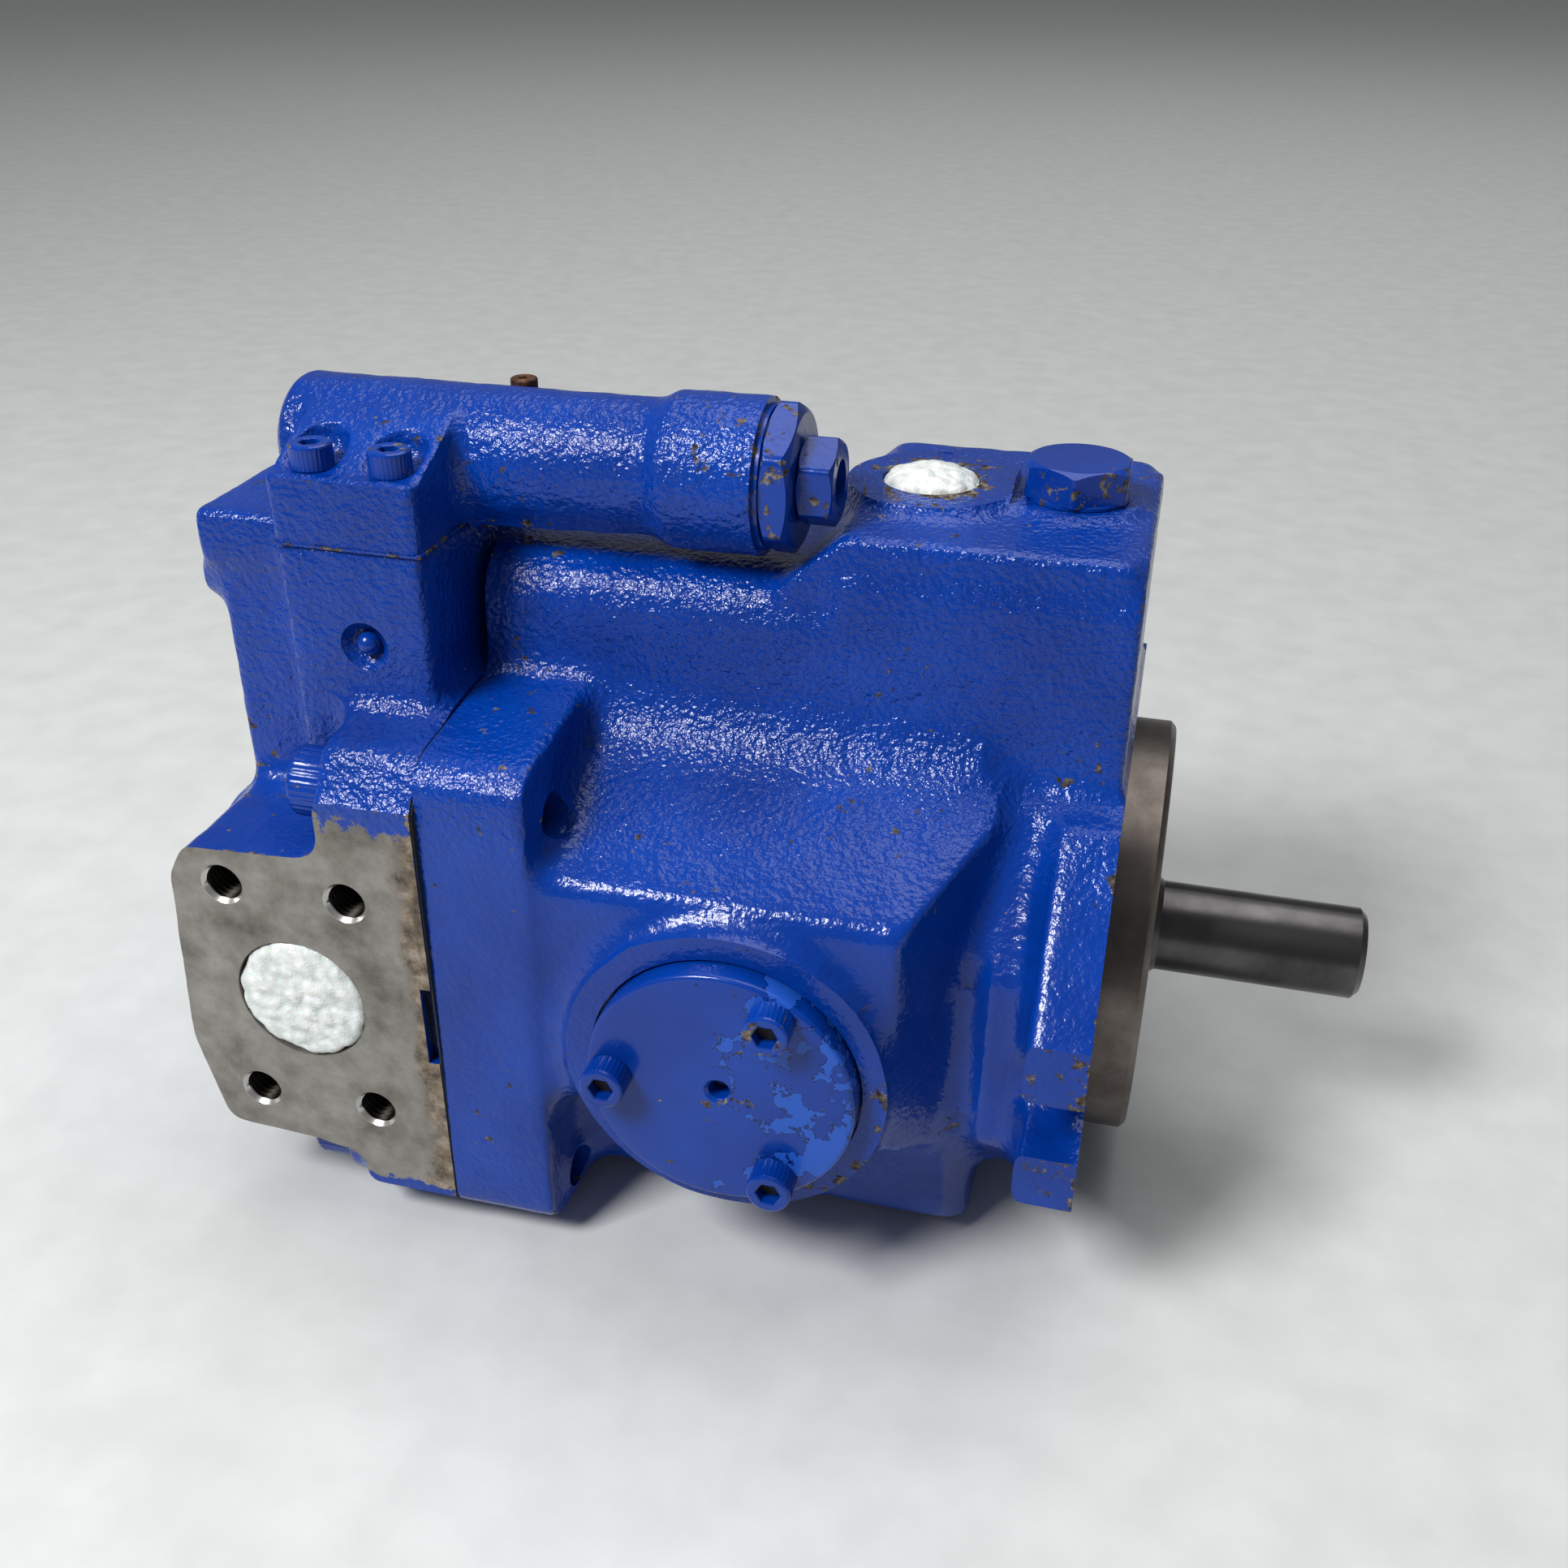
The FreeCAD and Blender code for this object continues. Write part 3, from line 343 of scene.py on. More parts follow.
joint_housing_x = housing_box[0].x
SHELF_CORNER = (39.1, 60.4)
SHELF_FILLET = ((51.0, 54.4), (38.2, 74.0))
housing_plugs = [
    block((joint_housing_x - 3 * MM, -52 * MM, -52 * MM), (-0.135, 52 * MM, 52 * MM)),
    block((joint_housing_x - 3 * MM, -23 * MM, 30 * MM), (-0.135, 23 * MM, 91 * MM)),
    rod(X, (-0.02, 0, 0), 0.029, 40 * MM),
    rod(Y, (pintle_x, -BOSS_FACE_Y - 3 * MM, 0), 16 * MM, 31.5 * MM),
    rod(Y, (pintle_x, BOSS_FACE_Y - 13 * MM, 0), 16 * MM, 31.5 * MM),
    rod(Z, (drain_x, 0, 85 * MM), DRAIN_BOSS_Z - 82 * MM, 12 * MM),
    rod(Z, (plug_x, 0, 85 * MM), PLUG_BOSS_Z - 82 * MM, 9 * MM),
]
housing_cuts = [
    half_space(2, cad_box[0][2] + 0.1 * MM, -1),
    half_space(0, joint_housing_x, -1),
    half_space(0, 0.0, 1),
    half_space(1, -BOSS_FACE_Y, -1),
    half_space(1, BOSS_FACE_Y, 1),
    block((drain_x - 19.5 * MM, -19.5 * MM, DRAIN_BOSS_Z), (-32.5 * MM, 19.5 * MM, 0.13)),
    block((-32.4 * MM, -19.5 * MM, PLUG_BOSS_Z), (-1 * MM, 19.5 * MM, 0.13)),
    rod(Z, (drain_x, 0, 80 * MM), 40 * MM, 11 * MM),
    rod(Z, (plug_x, 0, 80 * MM), 40 * MM, 8.2 * MM),
    rod(X, (-0.17, 0, 0), 0.126, CHAMBER_R),
    block((-0.17, -22 * MM, 30 * MM), (-30 * MM, 22 * MM, 90 * MM)),
    rod(X, (-45 * MM, 0, 0), 12 * MM, 24 * MM),
    rod(X, (-34 * MM, 0, 0), 40 * MM, BEARING_BORE_R),
    block((-0.104, -58.5 * MM, -27 * MM), (-44 * MM, 58.5 * MM, 27 * MM)),
    rod(Y, (pintle_x, -0.09, 0), 0.18, 19 * MM),
    rod(Y, (pintle_x, -0.09, 0), 10 * MM, COVER_RECESS_R),
    rod(Y, (pintle_x, 80 * MM, 0), 10 * MM, COVER_RECESS_R),
]
for side in (-1, 1):
    corner, first, last = [(side * y, z) for y, z in (SHELF_CORNER, *SHELF_FILLET)]
    housing_plugs.append(fillet_strip(corner, first, last, -121 * MM, -30 * MM))
for bolt_y, bolt_z in BOLT_PLACES:
    housing_plugs.append(rod(X, (joint_housing_x - 3 * MM, bolt_y, bolt_z), 29 * MM, 6 * MM))
    housing_cuts.append(rod(X, (-0.17, bolt_y, bolt_z), 55 * MM, 5.1 * MM))
housing_stock = [(0, joint_housing_x, -1), (0, 0.0, 1), (1, -BOSS_FACE_Y, -1), (1, BOSS_FACE_Y, 1)]
housing_stock += [(2, DRAIN_BOSS_Z, 1), (2, PLUG_BOSS_Z, 1)]
CAST_WAVES = [(9 * MM, 0.35 * MM), (3.4 * MM, 0.20 * MM)]
housing = cast_and_machined("housing_casting", "housing", housing_stock, housing_plugs, housing_cuts,
                            1.45 * MM, 3.0 * MM, CAST_WAVES)


def enamel(name, grain, chipping):
    """Solvent enamel sprayed thick over iron: a glossy deep blue film that follows the sand grain
    below (grain, its height, coarser on the upper half), pools lighter and darker over centimetres,
    and flakes off corners and at random down to brown-grey primer (chipping, 0 to 1)."""
    made, tree = empty_material(name)
    where = add(tree, "TexCoord").outputs["Object"]
    apart = add(tree, "SeparateXYZ", Vector=where)
    pools = add(tree, "TexNoise", Vector=where, Scale=1 / (30 * MM), Detail=3.0).outputs["Fac"]
    film = ramp(tree, pools, [(0.3, "#002C80"), (0.55, "#003490"), (0.8, "#003DA0")])
    sand = add(tree, "TexNoise", Vector=where, Scale=1 / (1.45 * MM), Detail=2.0,
               Roughness=0.5).outputs["Fac"]
    peel = add(tree, "TexNoise", Vector=where, Scale=1 / (5.0 * MM), Detail=1.0).outputs["Fac"]
    skin = add(tree, "Math", {"operation": "MULTIPLY_ADD"}, _0=peel, _1=0.7, _2=sand).outputs[0]
    coarse = add(tree, "MapRange", Value=apart.outputs["Z"], From_Min=38 * MM, From_Max=58 * MM,
                 To_Min=0.36, To_Max=1.0).outputs[0]
    skin = add(tree, "Math", {"operation": "MULTIPLY"}, _0=skin, _1=coarse).outputs[0]
    corner = add(tree, "NewGeometry").outputs["Pointiness"]
    worn = add(tree, "MapRange", Value=corner, From_Min=0.51, From_Max=0.58).outputs[0]
    flakes = add(tree, "TexNoise", Vector=where, Scale=1 / (4.0 * MM), Detail=6.0,
                 Roughness=0.68).outputs["Fac"]
    patches = add(tree, "TexNoise", Vector=where, Scale=1 / (30 * MM), Detail=1.0).outputs["Fac"]
    edge_share = 0.20 * chipping
    likely = add(tree, "Math", {"operation": "MULTIPLY_ADD"}, _0=worn, _1=edge_share, _2=flakes).outputs[0]
    likely = add(tree, "Math", {"operation": "MULTIPLY_ADD"}, _0=patches, _1=0.42, _2=likely).outputs[0]
    gone = add(tree, "MapRange", Value=likely, From_Min=0.907, From_Max=0.917).outputs[0]
    primer = ramp(tree, sand, [(0.35, "#261E19"), (0.5, "#4E443B"), (0.7, "#7F7870")])
    # Painted shade: the film turns near-black navy in hollows and inner corners, where shade falls.
    painted_shade_in_hollows = add(tree, "MapRange", Value=corner, From_Min=0.40, From_Max=0.475).outputs[0]
    film = add(tree, "Mix", {"data_type": "RGBA"}, _0=painted_shade_in_hollows, _6=linear("#020A2A"), _7=film).outputs[2]
    colour = add(tree, "Mix", {"data_type": "RGBA"}, _0=gone, _6=film, _7=primer).outputs[2]
    gloss = add(tree, "MapRange", Value=gone, To_Min=0.24, To_Max=0.75).outputs[0]
    relief = add(tree, "Bump", Height=skin, Strength=1.0, Distance=grain).outputs["Normal"]
    step = add(tree, "Math", {"operation": "SUBTRACT"}, _0=1.0, _1=gone).outputs[0]
    relief = add(tree, "Bump", Height=step, Strength=0.6, Distance=0.12 * MM, Normal=relief).outputs["Normal"]
    wet = add(tree, "MapRange", Value=gone, To_Min=0.32, To_Max=0.0).outputs[0]
    shader = add(tree, "BsdfPrincipled", Base_Color=colour, Roughness=gloss, Normal=relief,
                 Specular_IOR_Level=0.20, Coat_Weight=wet, Coat_Roughness=0.12, Coat_Normal=relief)
    add(tree, "OutputMaterial", Surface=shader.outputs["BSDF"])
    return made


cast_enamel = enamel("royal_blue_enamel_on_cast_iron", 0.62 * MM, 1.0)
smooth_enamel = enamel("royal_blue_enamel_on_machined_steel", 0.07 * MM, 0.6)


def rides(piece, body, nodes=(), finish=None):
    """A finished piece rides a body, takes a material, and stands for CAD nodes."""
    if finish is not None:
        piece.data.materials.clear()
        piece.data.materials.append(finish)
    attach(piece, body)
    if nodes:
        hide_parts(*nodes)
    return piece


rides(housing, "case", ["housing"], cast_enamel)


def turned_piece(name, shapes, body, finish, nodes=(), sharp=32):
    """A piece made of one or more closed surfaces, smooth but for edges over the sharp angle."""
    piece = mesh_object(name, *joined(shapes))
    piece.data.shade_smooth()
    piece.data.set_sharp_from_angle(angle=math.radians(sharp))
    return rides(piece, body, nodes, finish)


# --- Pilot register ----------------------------------------------------------------------------
# The round register on the mounting face is part of the housing casting. It is turned bare, and
# has gone dark with oil and handling.

def turned_steel(name, light, dark, gloss, line_mm):
    """Turned or ground steel: bright metal browned by old oil, with fine tool lines round the
    shaft's line, drawn at line_mm so that they show."""
    made, tree = empty_material(name)
    where = add(tree, "TexCoord").outputs["Object"]
    oil = add(tree, "TexNoise", Vector=where, Scale=1 / (22 * MM), Detail=6.0, Roughness=0.62).outputs["Fac"]
    colour = ramp(tree, oil, [(0.32, dark), (0.68, light)])
    lines_place = add(tree, "Mapping", Vector=where, Scale=(1 / (line_mm * MM), 12.0, 12.0)).outputs[0]
    lines = add(tree, "TexNoise", Vector=lines_place, Scale=1.0, Detail=2.0).outputs["Fac"]
    relief = add(tree, "Bump", Height=lines, Strength=0.5, Distance=0.02 * MM).outputs["Normal"]
    rough = add(tree, "MapRange", Value=oil, From_Min=0.3, From_Max=0.7, To_Min=gloss + 0.12,
                To_Max=gloss).outputs[0]
    shader = add(tree, "BsdfPrincipled", Base_Color=colour, Metallic=1.0, Roughness=rough, Normal=relief)
    add(tree, "OutputMaterial", Surface=shader.outputs["BSDF"])
    return made


pilot_steel = turned_steel("oiled_turned_iron", "#7B736D", "#4C443F", 0.33, 0.5)
register = lathe([(-3 * MM, PILOT_R - 8 * MM), (-3 * MM, PILOT_R - 1 * MM), (0.02 * MM, PILOT_R - 1 * MM),
                  (0.02 * MM, PILOT_R), (8.3 * MM, PILOT_R), (9.5 * MM, PILOT_R - 1.2 * MM),
                  (9.7 * MM, PILOT_R - 1.7 * MM), (9.7 * MM, BEARING_BORE_R + 1 * MM),
                  (8.7 * MM, BEARING_BORE_R), (-3 * MM, BEARING_BORE_R), (-3 * MM, PILOT_R - 8 * MM)],
                 X, (0, 0, 0), 144)
turned_piece("pilot_register", [register], "case", pilot_steel)

# --- Port block --------------------------------------------------------------------------------
# The rear casting carries the suction and delivery faces and the pedestal of the valve. The port
# faces are milled after casting and left bare, so they have greyed and rusted towards the joint.

block_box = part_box("port_block")
suction_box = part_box("suction_foam")
port_x = (suction_box[0].x + suction_box[1].x) / 2
port_face_y = -block_box[0].y
joint_block_x = block_box[1].x
SUCTION_SPACING = (30.2 * MM, 58.7 * MM)
DELIVERY_SPACING = (26.2 * MM, 52.4 * MM)
DELIVERY_R = 12.5 * MM
THREAD_OUTER_R = 5.2 * MM
DIMPLE_X = -163.5 * MM
DIMPLE_Z = 81 * MM
thread_places = []
for side, spacing in ((-1, SUCTION_SPACING), (1, DELIVERY_SPACING)):
    for step_x in (-0.5, 0.5):
        for step_z in (-0.5, 0.5):
            thread_places.append((side, port_x + step_x * spacing[0], step_z * spacing[1]))
block_plugs = [
    rod(X, (-0.17, 0, 0), joint_block_x + 3 * MM + 0.17, 46 * MM),
    block((-0.19, -12 * MM, 60 * MM), (joint_block_x + 3 * MM, 12 * MM, 84 * MM)),
    rod(Y, (port_x, -port_face_y - 3 * MM, 0), 0.166 + 6 * MM, 17 * MM),
    rod(Y, (DIMPLE_X, -59.9 * MM, DIMPLE_Z), 12 * MM, 5.5 * MM),
    block((-178 * MM, -57 * MM, 88 * MM), (-150 * MM, -5 * MM, 103 * MM)),
]
for side, hole_x, hole_z in thread_places:
    foot_y = side * (port_face_y + 3 * MM) if side < 0 else side * 58 * MM
    block_plugs.append(rod(Y, (hole_x, foot_y, hole_z), port_face_y + 3 * MM - 58 * MM, 5.2 * MM))
block_cuts = [
    half_space(0, joint_block_x, 1),
    half_space(1, -port_face_y, -1),
    half_space(1, port_face_y, 1),
    rod(Y, (port_x, -0.09, 0), 76 * MM, 16 * MM),
    rod(Y, (port_x, 14 * MM, 0), 76 * MM, DELIVERY_R),
    lathe(np.array([(-1, 0), (-1, 6.3), (0, 5.6), (1.6, 4.6), (2.8, 3.4), (3.3, 0)]) * MM,
          Y, (DIMPLE_X, -60 * MM, DIMPLE_Z)),
    rod(X, (-0.167, 0, 0), 0.03, 14 * MM),
    rod(X, (-0.18, 0, 72 * MM), 0.04, 10.05 * MM),
    block((joint_block_x - 2.6 * MM, -0.09, -12 * MM), (joint_block_x + 1 * MM, -80 * MM, 9 * MM)),
]
for side, hole_x, hole_z in thread_places:
    foot_y = -90 * MM if side < 0 else 62 * MM
    block_cuts.append(rod(Y, (hole_x, foot_y, hole_z), 28 * MM, THREAD_OUTER_R + 0.02 * MM))
for bolt_y, bolt_z in BOLT_PLACES:
    block_plugs.append(rod(X, (joint_block_x - 12 * MM, bolt_y, bolt_z), 15 * MM, 6 * MM))
    block_cuts.append(rod(X, (-0.18, bolt_y, bolt_z), 0.04, 5.3 * MM))
block_stock = [(0, joint_block_x, 1), (1, -port_face_y, -1), (1, port_face_y, 1)]
port_block = cast_and_machined("port_block_casting", "port_block", block_stock, block_plugs, block_cuts,
                               1.45 * MM, 3.0 * MM, CAST_WAVES)


def bare_faced_enamel(name):
    """The cast enamel, worn through to milled iron where the surface stands on a port face or lines a
    port: grey metal with stains, a crust of rust towards the joint, and ragged paint at the rim."""
    made = cast_enamel.copy()
    made.name = name
    tree = made.node_tree
    painted = next(n for n in tree.nodes if n.type == "BSDF_PRINCIPLED").outputs["BSDF"]
    where = add(tree, "TexCoord").outputs["Object"]
    apart = add(tree, "SeparateXYZ", Vector=where)
    out = add(tree, "Math", {"operation": "ABSOLUTE"}, _0=apart.outputs["Y"]).outputs[0]
    ragged = add(tree, "TexNoise", Vector=where, Scale=1 / (4 * MM), Detail=6.0,
                 Roughness=0.7).outputs["Fac"]
    on_face = add(tree, "MapRange", Value=out, From_Min=port_face_y - 0.12 * MM,
                  From_Max=port_face_y - 0.04 * MM).outputs[0]
    low_rim = add(tree, "MapRange", Value=apart.outputs["Z"], From_Min=-56 * MM, From_Max=-44 * MM).outputs[0]
    high_rim = add(tree, "MapRange", Value=apart.outputs["Z"], From_Min=60 * MM, From_Max=38 * MM).outputs[0]
    kept = add(tree, "Math", {"operation": "MULTIPLY"}, _0=low_rim, _1=high_rim).outputs[0]
    kept = add(tree, "Math", {"operation": "ADD"}, _0=kept, _1=ragged).outputs[0]
    kept = add(tree, "MapRange", Value=kept, From_Min=0.95, From_Max=1.0).outputs[0]
    bare = add(tree, "Math", {"operation": "MULTIPLY"}, _0=on_face, _1=kept).outputs[0]
    from_axis = add(tree, "VectorMath", {"operation": "SUBTRACT"}, _0=where, _1=(port_x, 0, 0)).outputs[0]
    from_axis = add(tree, "VectorMath", {"operation": "MULTIPLY"}, _0=from_axis, _1=(1, 0, 1)).outputs[0]
    from_axis = add(tree, "VectorMath", {"operation": "LENGTH"}, _0=from_axis).outputs["Value"]
    in_bore = add(tree, "MapRange", Value=from_axis, From_Min=16.7 * MM, From_Max=16.3 * MM).outputs[0]
    bare = add(tree, "Math", {"operation": "MAXIMUM"}, _0=bare, _1=in_bore).outputs[0]
    stains = add(tree, "TexNoise", Vector=where, Scale=1 / (14 * MM), Detail=7.0,
                 Roughness=0.68).outputs["Fac"]
    metal = ramp(tree, stains, [(0.30, "#5C5650"), (0.48, "#7F7B75"), (0.66, "#97948F"), (0.75, "#6E6961")])
    crust = ramp(tree, ragged, [(0.35, "#3E352C"), (0.52, "#776A5A"), (0.7, "#A2978A")])
    near_joint = add(tree, "MapRange", Value=apart.outputs["X"], From_Min=-156 * MM, From_Max=-146 * MM,
                     To_Min=-0.2, To_Max=0.30).outputs[0]
    rusted = add(tree, "Math", {"operation": "ADD"}, _0=near_joint, _1=stains).outputs[0]
    rusted = add(tree, "MapRange", Value=rusted, From_Min=0.55, From_Max=0.68).outputs[0]
    metal = add(tree, "Mix", {"data_type": "RGBA"}, _0=rusted, _6=metal, _7=crust).outputs[2]
    dull = add(tree, "MapRange", Value=rusted, To_Min=0.46, To_Max=0.8).outputs[0]
    shine = add(tree, "MapRange", Value=rusted, To_Min=0.55, To_Max=0.1).outputs[0]
    relief = add(tree, "Bump", Height=ragged, Strength=0.35, Distance=0.08 * MM).outputs["Normal"]
    iron = add(tree, "BsdfPrincipled", Base_Color=metal, Metallic=shine, Roughness=dull,
               Normal=relief).outputs["BSDF"]
    both = add(tree, "MixShader", _0=bare, _1=painted, _2=iron)
    output = next(n for n in tree.nodes if n.type == "OUTPUT_MATERIAL")
    tree.links.new(both.outputs[0], output.inputs["Surface"])
    return made


milled_iron = bare_faced_enamel("milled_iron_and_royal_blue_enamel")
rides(port_block, "case", ["port_block"], milled_iron)

# --- Port threads ------------------------------------------------------------------------------
# Each flange screw hole is tapped M10 with a bright countersink at its mouth, and its threads,
# which carry old oil and sealant, are drawn black as painted shade inside the hole.

THREAD_PITCH = 1.5 * MM
THREAD_MINOR_R = 4.25 * MM
THREAD_DEPTH = 18 * MM


def threaded_hole(direction, foot):
    """A tapped hole's wall, closed behind: a countersink, then r = minor + crest * |saw(s / pitch +
    turn)| down the hole, and a drill point. Distances run into the metal."""
    columns = 48
    turn = np.arange(columns) / columns
    down = np.arange(1.0 * MM, THREAD_DEPTH, THREAD_PITCH / 6)
    phase = (down[:, None] / THREAD_PITCH + turn) % 1.0
    wall = THREAD_MINOR_R + 0.75 * MM * np.abs(2 * phase - 1)
    mouth_s = np.array([0, 0, 0.12, 0.95]) * MM
    mouth_r = np.array([5.2, 5.15, 5.05, 4.4]) * MM
    end_s = np.array([THREAD_DEPTH, THREAD_DEPTH + 2 * MM, THREAD_DEPTH + 3 * MM, THREAD_DEPTH + 3 * MM])
    end_r = np.array([THREAD_MINOR_R, 0, 0, 5.2 * MM])
    along = np.concatenate([mouth_s, down, end_s, [0]])[:, None] * np.ones(columns)
    radius = np.concatenate([mouth_r[:, None] * np.ones(columns), wall, end_r[:, None] * np.ones(columns),
                             np.full((1, columns), 5.2 * MM)])
    return rings(along, radius, direction, foot)


def thread_oil_and_painted_shade():
    """Tapped iron: bright where the countersink was cut, and below it oily threads drawn black as painted shade
    inside the hole.
    """
    made, tree = empty_material("tapped_iron_oil_and_painted_shade")
    where = add(tree, "TexCoord").outputs["Object"]
    apart = add(tree, "SeparateXYZ", Vector=where)
    out = add(tree, "Math", {"operation": "ABSOLUTE"}, _0=apart.outputs["Y"]).outputs[0]
    mouth = add(tree, "MapRange", Value=out, From_Min=port_face_y - 1.3 * MM,
                From_Max=port_face_y - 0.9 * MM).outputs[0]
    # Painted shade: below the countersink the hole's wall is near-black, standing in for shade inside the hole.
    colour = ramp(tree, mouth, [(0.0, "#16130F"), (1.0, "#C9C7C2")])
    rough = add(tree, "MapRange", Value=mouth, To_Min=0.38, To_Max=0.28).outputs[0]
    shader = add(tree, "BsdfPrincipled", Base_Color=colour, Metallic=0.9, Roughness=rough)
    add(tree, "OutputMaterial", Surface=shader.outputs["BSDF"])
    return made


threads = [threaded_hole((0, -side, 0), (hole_x, side * (port_face_y + 0.03 * MM), hole_z))
           for side, hole_x, hole_z in thread_places]
turned_piece("port_face_threads", threads, "case", thread_oil_and_painted_shade(), sharp=50)

# --- Valve body --------------------------------------------------------------------------------
# The compensator is a smaller iron casting: a foot that is screwed to the pedestal, a long round
# barrel that holds the spool, and a thicker collar that takes the hexagon cap.

valve_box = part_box("valve_body")
VALVE_LINE = np.array([0, -26.5, 115.6]) * MM
VALVE_SEAT_Z = 103 * MM
valve_front_x = valve_box[1].x
valve_plugs = [
    rod(X, (-0.178, VALVE_LINE[1], VALVE_LINE[2]), valve_front_x + 3 * MM + 0.178, 10.5 * MM),
    block((-178 * MM, -57 * MM, 100 * MM), (-150 * MM, -5 * MM, 112 * MM)),
]
valve_cuts = [
    block((-182.6 * MM, -64 * MM, 90 * MM), (-147.4 * MM, 1 * MM, VALVE_SEAT_Z)),
    half_space(0, valve_front_x, 1),
    half_space(2, cad_box[1][2] - 0.02 * MM, 1),
    rod(X, (-0.112, VALVE_LINE[1], VALVE_LINE[2]), 0.04, 10 * MM),
    rod(X, (-0.176, VALVE_LINE[1], VALVE_LINE[2]), 0.07, 4.25 * MM),
]
valve_stock = [(2, VALVE_SEAT_Z, -1), (0, valve_front_x, 1)]
valve_body = cast_and_machined("valve_casting", "valve_body", valve_stock, valve_plugs, valve_cuts,
                               0.8 * MM, 2.0 * MM, [(7 * MM, 0.35 * MM), (2.6 * MM, 0.16 * MM)])
rides(valve_body, "case", ["valve_body"], cast_enamel)
BEAD_HALF = 0.3 * MM
foot_line = block((-182.3 * MM, -60.3 * MM, VALVE_SEAT_Z - BEAD_HALF),
                  (-147.7 * MM, -3 * MM, VALVE_SEAT_Z + BEAD_HALF))
turned_piece("valve_foot_paint_bead", [foot_line], "case", cast_enamel)

# --- Socket head screws ------------------------------------------------------------------------
# The castings, trunnion covers and valve foot are held by forged socket head screws with knurled
# rims. They were painted along with the pump, and a black disc on each socket's floor is painted shade.

KNURLS = 30


def socket_screw(seat, direction, thread_r, length, head_r, head_height, flats):
    """A screw's surface by rings: shank, knurled head whose radius dips as |sin| of the turn, soft
    rim, and a hexagon socket whose radius is flats / 2 over the cosine of the turn within a side."""
    columns = KNURLS * 6
    turn = np.linspace(0, 2 * np.pi, columns, endpoint=False)
    hexagon = flats / 2 / np.cos((turn + np.pi / 6) % (np.pi / 3) - np.pi / 6)
    knurl = -0.028 * head_r * np.abs(np.sin(turn * KNURLS / 2)) ** 2
    plain = np.ones(columns)
    rim = 0.07 * head_r
    rows = [(-length, 0 * plain), (-length, thread_r * plain), (0, thread_r * plain),
            (0, head_r * 0.95 * plain), (rim, head_r * plain), (rim * 2, head_r * plain + knurl),
            (head_height - 3 * rim, head_r * plain + knurl),
            (head_height - 2 * rim, head_r * plain), (head_height - 0.8 * rim, head_r * 0.965 * plain),
            (head_height, head_r * 0.88 * plain), (head_height, hexagon * 1.12),
            (head_height - 0.6 * rim, hexagon), (head_height * 0.45, hexagon), (head_height * 0.36, 0 * plain)]
    along = np.array([row[0] for row in rows])[:, None] * plain
    return rings(along, np.array([row[1] for row in rows]), direction, seat)


SOCKET_SHADE_DISC = 0.6 * MM


def painted_shade_in_socket(seat, direction, head_height, flats):
    """A thin black disc that lies on a screw socket's floor: painted shade inside the socket."""
    foot = np.array(seat) + np.array(direction) * (head_height * 0.42)
    return rod(direction, foot, SOCKET_SHADE_DISC, flats * 0.49)


socket_shade_discs = []
bolts = []
for bolt_y, bolt_z in BOLT_PLACES:
    bolt_seat_x = -168 * MM if bolt_z > 0 else -176 * MM
    bolts.append(socket_screw((bolt_seat_x, bolt_y, bolt_z), (-1, 0, 0), 5 * MM, -124 * MM - bolt_seat_x,
                              8 * MM, 10 * MM, 8 * MM))
    socket_shade_discs.append(painted_shade_in_socket((bolt_seat_x, bolt_y, bolt_z), (-1, 0, 0), 10 * MM, 8 * MM))
turned_piece("housing_bolt_set", bolts, "case", smooth_enamel, ["housing_bolts"])

COVER_FACE_Y = 89 * MM
cover_screws = []
for side in (-1, 1):
    for degrees in (180, 61, -59):
        angle = math.radians(degrees)
        seat = (pintle_x + 24.5 * MM * math.cos(angle), side * COVER_FACE_Y, 24.5 * MM * math.sin(angle))
        cover_screws.append(socket_screw(seat, (0, side, 0), 3 * MM, 22 * MM, 5 * MM, 6 * MM, 5 * MM))
        socket_shade_discs.append(painted_shade_in_socket(seat, (0, side, 0), 6 * MM, 5 * MM))
turned_piece("trunnion_cover_screw_set", cover_screws, "case", smooth_enamel,
             ["trunnion_cover_screws"])

FOOT_TOP_Z = 118 * MM
valve_seats = [(screw_x, screw_y, FOOT_TOP_Z) for screw_x in (-174 * MM, -156 * MM)
               for screw_y in (-53 * MM, -9 * MM)]
valve_screws = [socket_screw(seat, Z, 2.5 * MM, 28 * MM, 4.6 * MM, 5.5 * MM, 4 * MM) for seat in valve_seats]
turned_piece("valve_screw_set", valve_screws, "case", smooth_enamel, ["valve_screws"])
socket_shade_discs += [painted_shade_in_socket(seat, Z, 5.5 * MM, 4 * MM) for seat in valve_seats]
# Near-black for the socket discs: painted shade at the bottom of each screw socket.
socket_shade_black, tree = empty_material("painted_socket_shade")
shader = add(tree, "BsdfPrincipled", Base_Color=linear("#120E0B"), Roughness=0.6)
add(tree, "OutputMaterial", Surface=shader.outputs["BSDF"])
turned_piece("screw_socket_painted_shade", socket_shade_discs, "case", socket_shade_black)

# --- Trunnion covers ---------------------------------------------------------------------------
# A turned steel disc closes each end of the yoke's trunnion line. Its spigot enters the bearing
# bore, three screws hold it, and a tapped hole in its middle is for jacking it out.

COVER_R = 30 * MM


def trunnion_cover(side):
    """The disc, its soft painted edge, the countersunk tapped hole and the spigot, by rings from
    the hole's bottom outwards."""
    face = COVER_FACE_Y
    profile = [(face - 6 * MM, 0), (face - 5 * MM, 2.4 * MM), (face - 0.7 * MM, 2.4 * MM), (face, 3.2 * MM),
               (face, 8 * MM), (face, 16 * MM), (face, 24 * MM)]
    edge = [(face - 1.1 * MM + 1.1 * MM * math.cos(t), COVER_R - 1.1 * MM + 1.1 * MM * math.sin(t))
            for t in np.linspace(0, math.pi / 2, 6)]
    profile += edge + [(80 * MM, COVER_R), (80 * MM, 18.95 * MM), (77.2 * MM, 18.95 * MM), (77.2 * MM, 0)]
    return lathe(profile, (0, side, 0), (pintle_x, 0, 0), 120)


